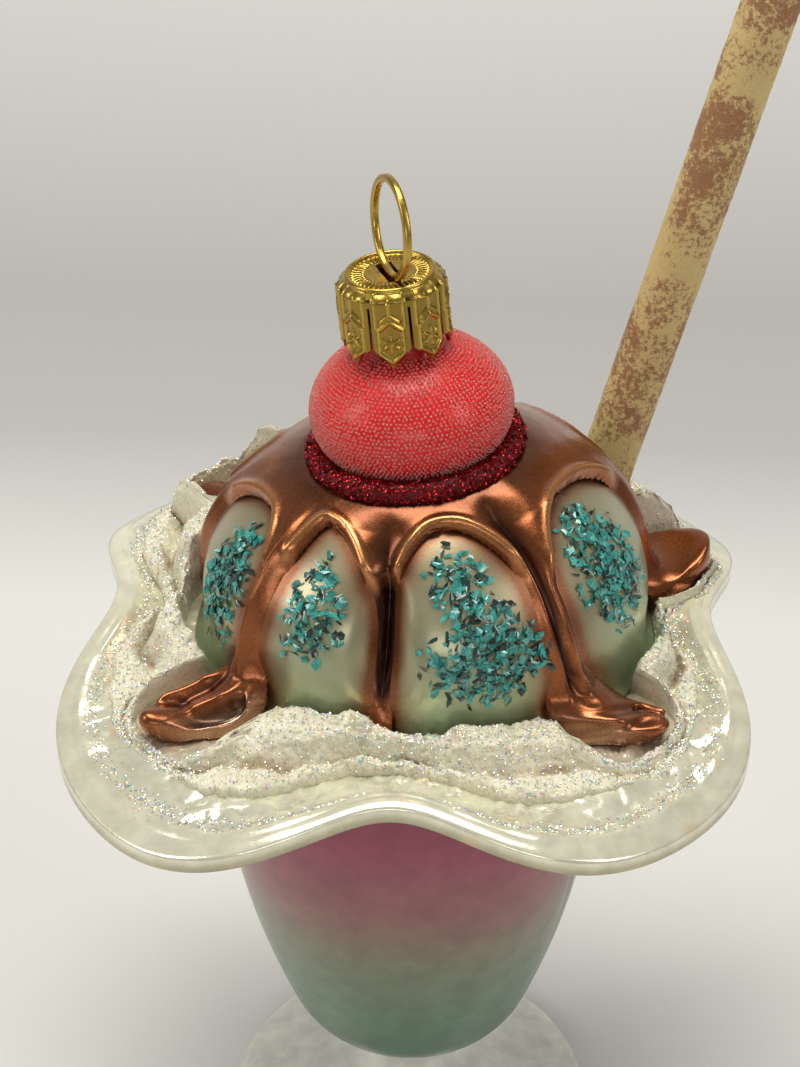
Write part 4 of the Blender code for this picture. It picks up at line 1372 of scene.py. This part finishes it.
# Where the shards lie: panel right of this rib, centre and half size across and down it, count.
SHARD_BEDS = (
    {"panel": 1, "across": 0.66, "down": 0.66, "wide": 0.19, "tall": 0.32, "count": 330},
    {"panel": 2, "across": 0.48, "down": 0.56, "wide": 0.25, "tall": 0.26, "count": 160},
    {"panel": 3, "across": 0.47, "down": 0.36, "wide": 0.19, "tall": 0.17, "count": 100},
    {"panel": 3, "across": 0.58, "down": 0.56, "wide": 0.20, "tall": 0.12, "count": 90},
    {"panel": 3, "across": 0.58, "down": 0.76, "wide": 0.34, "tall": 0.19, "count": 340},
    {"panel": 4, "across": 0.38, "down": 0.54, "wide": 0.20, "tall": 0.30, "count": 420},
    {"panel": 5, "across": 0.52, "down": 0.55, "wide": 0.26, "tall": 0.28, "count": 180},
    {"panel": 6, "across": 0.50, "down": 0.58, "wide": 0.26, "tall": 0.28, "count": 180},
    {"panel": 0, "across": 0.50, "down": 0.58, "wide": 0.26, "tall": 0.28, "count": 150},
)


def bed_spot(bed, draw):
    """A place in a bed of shards, and the dome's normal there."""
    left = rib_angle(bed["panel"])
    width = rib_angle(bed["panel"] + 1) - left
    turn = draw.uniform(0, TURN)
    reach = draw.random() ** 0.6 * draw.uniform(0.8, 1.2)
    angle = left + width * (bed["across"] + bed["wide"] * reach * math.cos(turn))
    fall = bed["down"] + bed["tall"] * reach * math.sin(turn)
    here = dome_point(angle, fall)
    across = dome_point(angle + 0.01, fall) - here
    normal = across.cross(dome_point(angle, fall - 0.01) - here).normalized()
    if normal.x * here.x + normal.y * here.y < 0:
        normal.negate()
    return here, normal


def shard_outline(draw, dark):
    """A long splinter or a broken blade of film."""
    length = draw.uniform(0.55, 1.15) * MM if dark else draw.uniform(0.45, 1.05) * MM
    width = length * (draw.uniform(0.22, 0.55) if dark else draw.uniform(0.3, 0.75))
    sides = draw.choice((3, 4, 5))
    found = []
    for i in range(sides):
        turn = TURN * (i + draw.uniform(-0.3, 0.3)) / sides
        found.append((length * math.cos(turn), width * math.sin(turn)))
    return found


def make_shards():
    """Chips of teal film and of dark film, which lie askew in beds on the panels."""
    draw = random.Random(11)
    parts = {"teal_shards": ([], []), "dark_shards": ([], [])}
    for bed in SHARD_BEDS:
        for _ in range(bed["count"]):
            here, normal = bed_spot(bed, draw)
            dark = draw.random() < DARK_SHARE
            facing = tilted(normal, 0.22 if dark else 0.30, draw)
            centre = here + normal * draw.uniform(0.08, 0.5) * MM
            spin = draw.uniform(0, TURN)
            points, faces = parts["dark_shards" if dark else "teal_shards"]
            add_chip(points, faces, centre, facing, spin, shard_outline(draw, dark), CHIP_THICKNESS)
    teal = shard_look("teal_shards", (0.01, 0.20, 0.18), (0.10, 0.58, 0.52), 0.25, 0.10)
    dark = shard_look("dark_shards", (0.003, 0.012, 0.012), (0.02, 0.07, 0.06), 0.0, 0.15)
    for name, material in (("teal_shards", teal), ("dark_shards", dark)):
        points, faces = parts[name]
        add_piece(name, points, faces, material, smooth=False)


# Cherry, collar, cap and ring, worked out upright and leaned as one


CROWN = Matrix.Translation((CROWN_SHIFT, 0, CROWN_HEIGHT)) @ Matrix.Rotation(LEAN, 4, "Y")
CAP = CROWN @ Matrix.Translation((CAP_SHIFT, 0, 0))


def cherry_point(turn, angle, proud=0.0):
    """A point of the flattened cherry: turn is 0 at its top and pi at its bottom."""
    out = (CHERRY_RADIUS + proud) * math.sin(turn)
    return polar(out, angle, CHERRY_CENTRE + (CHERRY_HALF_HEIGHT + proud) * math.cos(turn))


def make_cherry():
    """The cherry's red body under the beads, with a neck that goes up inside the cap."""
    angles = [TURN * i / CHERRY_COLUMNS for i in range(CHERRY_COLUMNS)]
    rows = []
    shades = []
    # The neck inside the cap gets full painted shade.
    for height in (CAP_TOP - 1.6 * MM, 19.0 * MM):
        rows.append([CROWN @ polar(NECK_RADIUS, angle, height) for angle in angles])
        shades += [1.0] * CHERRY_COLUMNS
    neck_turn = math.asin(NECK_RADIUS / CHERRY_RADIUS)
    for step in range(CHERRY_STEPS + 1):
        turn = neck_turn + (math.pi * 0.98 - neck_turn) * step / CHERRY_STEPS
        rows.append([CROWN @ cherry_point(turn, angle, -0.15 * MM) for angle in angles])
        # Painted shade towards the bottom, by the collar.
        shades += [smooth_step((math.cos(turn) + 0.42) / -0.3)] * CHERRY_COLUMNS
    rows_to_piece("cherry_core", rows, cherry_look(), ["cherry"], {"shade": shades})


def bead_shape():
    """A small round bead of 20 faces, with a radius of 1."""
    bm = bmesh.new()
    bmesh.ops.create_icosphere(bm, subdivisions=1, radius=1.0)
    corners = [vert.co.copy() for vert in bm.verts]
    faces = [[vert.index for vert in face.verts] for face in bm.faces]
    bm.free()
    return corners, faces


def make_beads():
    """Rows of beads round the cherry, each one a little off its even place."""
    draw = random.Random(3)
    shape, shape_faces = bead_shape()
    points, faces = [], []
    turn = BEAD_ROWS_FROM
    row = 0
    while turn < BEAD_ROWS_TO:
        count = max(int(TURN * CHERRY_RADIUS * math.sin(turn) / BEAD_PITCH), 3)
        slope = math.hypot(CHERRY_RADIUS * math.cos(turn), CHERRY_HALF_HEIGHT * math.sin(turn))
        for i in range(count):
            angle = TURN * (i + 0.5 * (row % 2) + draw.uniform(-0.20, 0.20)) / count
            jitter = draw.uniform(-0.18, 0.18) * BEAD_PITCH / slope
            centre = CROWN @ cherry_point(turn + jitter, angle, BEAD_PROUD)
            size = BEAD_PITCH * draw.uniform(0.30, 0.39)
            spin = Euler((draw.uniform(0, 3), draw.uniform(0, 3), 0)).to_matrix()
            start = len(points)
            points += [centre + spin @ corner * size for corner in shape]
            faces += [tuple(start + k for k in face) for face in shape_faces]
        turn += 0.90 * BEAD_PITCH / slope
        row += 1
    add_piece("clear_beads", points, faces, bead_look())


def collar_point(turn, angle, proud=0.0):
    """A rope of glitter in the crease under the cherry, thicker in some places than others."""
    swell = 1 + 0.16 * rough(polar(1.0, angle, 0.0), 0.16, 5.0)
    across = (COLLAR_HALF_WIDTH * swell + proud) * math.cos(turn)
    up = (COLLAR_HALF_HEIGHT * swell + proud) * math.sin(turn)
    return polar(COLLAR_RADIUS + across, angle, COLLAR_HEIGHT + up)


def collar_look():
    """Dark red grain, seen between the flakes."""
    look = Look("collar_core_look", Roughness=0.5, Metallic=0.3)
    tone = look.blend(look.speckle(0.5 * MM), (0.05, 0.0, 0.003), (0.16, 0.004, 0.008))
    return look.set(Base_Color=tone, Normal=look.bump(look.speckle(0.4 * MM), 0.1 * MM))


def make_collar():
    """The collar's rough core, and the red flakes stuck all over what shows of it."""
    points = []
    for i in range(COLLAR_COLUMNS):
        for j in range(COLLAR_SIDES):
            point = CROWN @ collar_point(TURN * j / COLLAR_SIDES, TURN * i / COLLAR_COLUMNS)
            uneven = Vector((rough(point, 0.6 * MM, 2.0), rough(point, 0.6 * MM, 4.0), 0))
            points.append(point + 0.12 * MM * uneven)
    faces = tube_faces(COLLAR_COLUMNS, COLLAR_SIDES)
    add_piece("collar_core", points, faces, collar_look(), ["glitter_collar"])
    draw = random.Random(5)
    chips, chip_faces = [], []
    for _ in range(COLLAR_GLITTER):
        angle = draw.uniform(0, TURN)
        turn = draw.uniform(-1.3, 2.2)
        here = CROWN @ collar_point(turn, angle, draw.uniform(-0.02, 0.16) * MM)
        normal = (CROWN @ collar_point(turn, angle, MM) - here).normalized()
        facing = tilted(normal, 0.55, draw)
        outline = round_outline(draw.uniform(0.13, 0.25) * MM, 6 if draw.random() < 0.3 else 4)
        spin = draw.uniform(0, TURN)
        add_chip(chips, chip_faces, here, facing, spin, outline, 0.8 * CHIP_THICKNESS)
    look = glitter_look("collar_glitter", (0.36, 0.003, 0.010), 0.02, 0.12, 0.85)
    add_piece("collar_glitter", chips, chip_faces, look, smooth=False)


def lappet_edge(place):
    """Height of the skirt's lower edge across one lappet, place running from 0 to 1."""
    side = abs(2 * place - 1)
    shoulder = 0.42
    if side < shoulder:
        return LAPPET_TIP + (LAPPET_CORNER - LAPPET_TIP) * 0.55 * (side / shoulder)
    share = (side - shoulder) / (1 - shoulder)
    return LAPPET_TIP + (LAPPET_CORNER - LAPPET_TIP) * (0.55 + 0.45 * share)


def stamped(x, height):
    """Relief of one lappet in mm: a hexagon frame round a six-petal flower, a forked pleat above."""
    up = height / MM - 19.55
    x = abs(x / MM)
    hexagon = max(x / 1.66, (abs(up) + 0.78 * x) / 2.74)
    frame_line = hill(hexagon, 1.0, 0.11)
    radius = math.hypot(x, up + 0.3)
    petals = 0.5 + 0.5 * math.cos(6 * math.atan2(x, up + 0.3))
    flower = smooth_step((0.25 + 1.2 * petals ** 1.5 - radius) / 0.3)
    flower *= smooth_step((1.5 - radius) / 0.3)
    flower *= 1 - 0.9 * hill(radius, 0.33, 0.12)
    stem = hill(x, 0.0, 0.17) * between(up, 3.5, 5.2, 0.3)
    fork = hill(up + 0.78 * x, 3.55, 0.20) * smooth_step((1.6 - x) / 0.3)
    side = hill(x, 1.95, 0.16) * smooth_step((up - 1.4) / 0.6)
    return 0.34 * frame_line + 0.30 * flower + 0.30 * max(stem, fork, side)


def cap_columns():
    """(angle, place across its lappet, lower edge) right round the skirt, slots included."""
    found = []
    slot = SLOT_HALF_WIDTH / SKIRT_RADIUS
    step = TURN / LAPPET_COUNT
    for i in range(LAPPET_COUNT):
        start = step * (i - 0.5)
        for share in (-1.0, -0.5, 0.5, 1.0):
            found.append((start + slot * share, 0.0, SLOT_TOP - 0.25 * MM * (1 - share * share)))
        for k in range(LAPPET_COLUMNS):
            place = k / (LAPPET_COLUMNS - 1)
            angle = start + 1.12 * slot + (step - 2.24 * slot) * place
            found.append((angle, place, lappet_edge(place)))
    return found


def lappet_relief(place, height):
    """The stamped relief in mm at this place across a lappet."""
    return stamped(SKIRT_RADIUS * TURN / LAPPET_COUNT * (place - 0.5), height)


# Each section of the cap gives (radius, height, painted shade mark) at an angle, at a place across its
# lappet and over a lower edge. The painted shade darkens the reeds' and pleats' hollows, the slots,
# the low parts of the stamping and the cap's inside.


def disc_section(radius, angle, place, edge):
    """The disc on top: a raised circle inside a ring of radial reeding."""
    ring = between(radius, 3.5 * MM, 4.5 * MM, 0.25 * MM)
    reed = ring * max(math.sin(angle * REEDS), -0.3)
    relief = 0.20 * reed + 0.12 * hill(radius, 2.9 * MM, 0.2 * MM)
    # Painted shade between the reeds.
    return radius, CAP_TOP + (relief - 0.30) * MM, 0.5 * ring * smooth_step((0.3 - reed) / 0.6)


def bend_section(share, angle, place, edge):
    """The rounded rim from the disc down to the shoulder."""
    turn = math.pi * share
    radius = CAP_RADIUS - 0.20 * MM - 0.32 * MM * math.cos(turn)
    return radius, CAP_TOP - 0.20 * MM + 0.32 * MM * math.sin(turn), 0.15 * (share in (0.0, 1.0))


def shoulder_section(share, angle, place, edge):
    """The pleated shoulder, where the slots between the lappets are only lines."""
    height = SHOULDER_TOP + (SKIRT_TOP - SHOULDER_TOP) * share
    bow = (SKIRT_RADIUS - 0.15 * MM - CAP_RADIUS) * math.sin(math.pi / 2 * share)
    fold = math.cos(2 * TURN * place) if 0 < place < 1 else 1.0
    relief = 0.6 * lappet_relief(place, height) - 0.09 * fold * smooth_step(share * 2)
    # Painted shade along the slots between the lappets.
    slot_shade = 0.9 if place in (0.0, 1.0) and share > 0.6 else 0.0
    return CAP_RADIUS + bow + relief * MM, height, max(0.5 * max(fold, 0) * share, slot_shade)


def skirt_section(share, angle, place, edge):
    """The stamped lappets, each one slightly bowed."""
    height = SKIRT_TOP + (edge - SKIRT_TOP) * share
    relief = lappet_relief(place, height)
    bow = 0.18 * (1 - (2 * place - 1) ** 2)
    radius = SKIRT_RADIUS + (bow + relief - 0.15) * MM
    # Painted shade on the low parts of the stamped relief.
    return radius, height, max(0.5 - 3.0 * relief, 0.0)


def inside_section(share, angle, place, edge):
    """The plain inside of the lappets, from their edge up."""
    # Painted shade on the inside of the lappets.
    return SKIRT_RADIUS - SKIRT_WALL, edge + (SKIRT_TOP - edge) * share, 0.8


def ceiling_section(radius, drop, angle, place, edge):
    """The underside of the disc."""
    # Painted shade under the disc.
    return radius, CAP_TOP - drop, 0.9


def cap_sections():
    """Every row of the cap, from the middle of its disc round to the middle of its underside."""
    sections = [partial(disc_section, (0.6 + 0.2 * row) * MM) for row in range(DISC_ROWS)]
    sections += [partial(bend_section, row / (BEND_ROWS - 1)) for row in range(BEND_ROWS)]
    sections += [partial(shoulder_section, row / SHOULDER_ROWS) for row in range(1, SHOULDER_ROWS)]
    sections += [partial(skirt_section, row / (SKIRT_ROWS - 1)) for row in range(SKIRT_ROWS)]
    sections += [partial(inside_section, row / (INSIDE_ROWS - 1)) for row in range(INSIDE_ROWS)]
    sections.append(partial(ceiling_section, CAP_RADIUS - SKIRT_WALL, 1.2 * MM))
    sections.append(partial(ceiling_section, 0.85 * CAP_RADIUS, 0.8 * MM))
    sections.append(partial(ceiling_section, 0.6 * MM, 0.8 * MM))
    return sections


def make_cap(gold):
    """The crown cap: a reeded disc, a pleated shoulder and eight stamped lappets."""
    columns = cap_columns()
    rows = []
    hollows = []
    for section in cap_sections():
        row = []
        for column in columns:
            radius, height, painted_shade = section(*column)
            row.append(CAP @ polar(radius, column[0], height))
            hollows.append(painted_shade)
        rows.append(row)
    cap = rows_to_piece("gilt_cap", rows, gold, ["ornament_cap"], {"painted_shade": hollows})
    cut_slot(cap)


def cut_slot(cap):
    """Cuts the slot that the hanging ring dips into."""
    bm = bmesh.new()
    bmesh.ops.create_cube(bm, size=1.0)
    bmesh.ops.scale(bm, vec=(CAP_HOLE_LENGTH, CAP_HOLE_WIDTH, 3 * MM), verts=bm.verts)
    bmesh.ops.transform(bm, matrix=Matrix.Rotation(RING_TURN, 4, "Z"), verts=bm.verts)
    bmesh.ops.transform(bm, matrix=CAP @ Matrix.Translation((0, 0, CAP_TOP)), verts=bm.verts)
    mesh = bpy.data.meshes.new("slot_cutter")
    bm.to_mesh(mesh)
    bm.free()
    cutter = bpy.data.objects.new("slot_cutter", mesh)
    bpy.context.scene.collection.objects.link(cutter)
    boolean = cap.modifiers.new("slot", "BOOLEAN")
    boolean.operation = "DIFFERENCE"
    boolean.solver = "EXACT"
    boolean.object = cutter
    bpy.context.view_layer.update()
    graph = bpy.context.evaluated_depsgraph_get()
    cut = bpy.data.meshes.new_from_object(cap.evaluated_get(graph))
    cap.modifiers.clear()
    cap.data = cut
    bpy.data.objects.remove(cutter, do_unlink=True)


def make_ring(gold):
    """A ring of square wire with softened edges, standing in the cap's slot."""
    turned_ring = Matrix.Rotation(RING_TURN, 4, "Z") @ Matrix.Rotation(math.pi / 2, 4, "X")
    lean = Matrix.Rotation(RING_LEAN, 4, "Y")
    rise = Matrix.Translation((0, 0, RING_RISE))
    place = CAP @ Matrix.Translation((0, 0, CAP_TOP)) @ lean @ rise @ turned_ring
    points = []
    for i in range(RING_COLUMNS):
        angle = TURN * i / RING_COLUMNS
        for j in range(RING_SIDES):
            turn = TURN * (j + 0.5) / RING_SIDES
            square = RING_WIRE / max(abs(math.cos(turn)), abs(math.sin(turn))) ** 0.9
            out = RING_RADIUS + square * math.cos(turn)
            side = square * math.sin(turn)
            points.append(place @ Vector((out * math.cos(angle), out * math.sin(angle), side)))
    faces = tube_faces(RING_COLUMNS, RING_SIDES)
    marks = {"painted_shade": [0.0] * len(points)}
    add_piece("gilt_ring", points, faces, gold, ["hanging_ring"], marks)


# The straw


def make_straw():
    """The wafer tube, its skin faintly uneven, with an open end."""
    place = Matrix.Translation(STRAW_FOOT) @ STRAW_AXIS.to_track_quat("Z", "Y").to_matrix().to_4x4()
    skin = STRAW_LENGTH - 2 * STRAW_EDGE
    profile = [(0.2 * MM, 0.0), (STRAW_RADIUS - STRAW_EDGE, 0.0)]
    profile += [(STRAW_RADIUS, STRAW_EDGE + skin * i / STRAW_ROWS) for i in range(STRAW_ROWS + 1)]
    profile += [
        (STRAW_RADIUS - 0.22 * MM, STRAW_LENGTH),
        (STRAW_BORE + 0.2 * MM, STRAW_LENGTH),
        (STRAW_BORE, STRAW_LENGTH - 0.2 * MM),
        (STRAW_BORE, STRAW_LENGTH - STRAW_BORE_DEPTH),
        (0.2 * MM, STRAW_LENGTH - STRAW_BORE_DEPTH),
    ]
    rows = []
    for radius, height in profile:
        row = []
        for i in range(STRAW_COLUMNS):
            angle = TURN * i / STRAW_COLUMNS
            point = polar(radius, angle, height)
            uneven = 0.05 * rough(point, 1.1 * MM, 2.0) + 0.04 * rough(point, 9 * MM, 3.0)
            proud = uneven * MM if radius > STRAW_BORE else 0.0
            row.append(place @ polar(radius + proud, angle, height))
        rows.append(row)
    rows_to_piece("wafer_tube", rows, straw_look(), ["wafer_straw"])


# Floor, light and camera


def floor_look():
    """Pale paper, with a band of painted shade behind the ornament, darker than in front and at the back.
    """
    look = Look("floor_look", Roughness=0.9)
    away = look.node("SeparateXYZ")
    look.link(look.place(), away.inputs[0])
    return look.set(Base_Color=look.ramp(away.outputs["Y"], *FLOOR_TONES_AND_SHADE))


def make_stage():
    """A pale floor that curves up into a backdrop."""
    profile = [(-1.2, 0.0), (-0.6, 0.0), (0.0, 0.0), (FLOOR_DEPTH, 0.0)]
    for step in range(1, 13):
        turn = math.pi / 2 * step / 12
        profile.append((FLOOR_DEPTH + FLOOR_BEND * math.sin(turn), FLOOR_BEND * (1 - math.cos(turn))))
    profile.append((FLOOR_DEPTH + FLOOR_BEND, BACKDROP_HEIGHT))
    points = [(x, y, z) for y, z in profile for x in (-FLOOR_HALF_WIDTH, FLOOR_HALF_WIDTH)]
    faces = [(2 * i, 2 * i + 1, 2 * i + 3, 2 * i + 2) for i in range(len(profile) - 1)]
    mesh = bpy.data.meshes.new("floor")
    mesh.from_pydata(points, [], faces)
    mesh.shade_smooth()
    mesh.materials.append(floor_look())
    floor = bpy.data.objects.new("floor", mesh)
    bpy.context.scene.collection.objects.link(floor)
    floor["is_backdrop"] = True


def add_light(name, place, aim, size, power, colour):
    """A rectangular lamp that looks at its aim."""
    data = bpy.data.lights.new(name, "AREA")
    data.shape = "RECTANGLE"
    data.size, data.size_y = size
    data.energy = power
    data.color = colour
    light = bpy.data.objects.new(name, data)
    light.location = place
    light.rotation_euler = (Vector(aim) - Vector(place)).to_track_quat("-Z", "Y").to_euler()
    bpy.context.scene.collection.objects.link(light)


def make_lights():
    """A soft white room, and four large soft lamps round the ornament."""
    world = bpy.data.worlds.new("studio")
    world.use_nodes = True
    background = world.node_tree.nodes["Background"]
    background.inputs["Color"].default_value = (1.0, 0.98, 0.92, 1.0)
    background.inputs["Strength"].default_value = ROOM_STRENGTH
    bpy.context.scene.world = world
    for name, place, size, power, colour in LAMPS:
        add_light(name, place, LAMP_AIM, size, power, colour)


def make_camera():
    """The camera, which looks down on the ornament from the front."""
    data = bpy.data.cameras.new("camera")
    data.lens = CAMERA_LENS
    data.clip_start = 0.01
    camera = bpy.data.objects.new("camera", data)
    camera.location = CAMERA_PLACE
    camera.rotation_euler = (CAMERA_TILT, 0, CAMERA_TURN)
    bpy.context.scene.collection.objects.link(camera)
    bpy.context.scene.camera = camera
    bpy.context.scene.view_settings.view_transform = "Standard"


make_camera()
edge_tree = make_edge_tree()
make_dish(edge_tree)
make_dome(edge_tree)
make_syrup(edge_tree)
cream_grid = make_cream()
make_glitter(cream_grid)
make_shards()
make_cherry()
make_beads()
make_collar()
gold = gold_look()
make_cap(gold)
make_ring(gold)
make_straw()
make_stage()
make_lights()

boxes = {"cad": cad_box, "visual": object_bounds()}
{name: [list(corner) for corner in box] for name, box in boxes.items()}
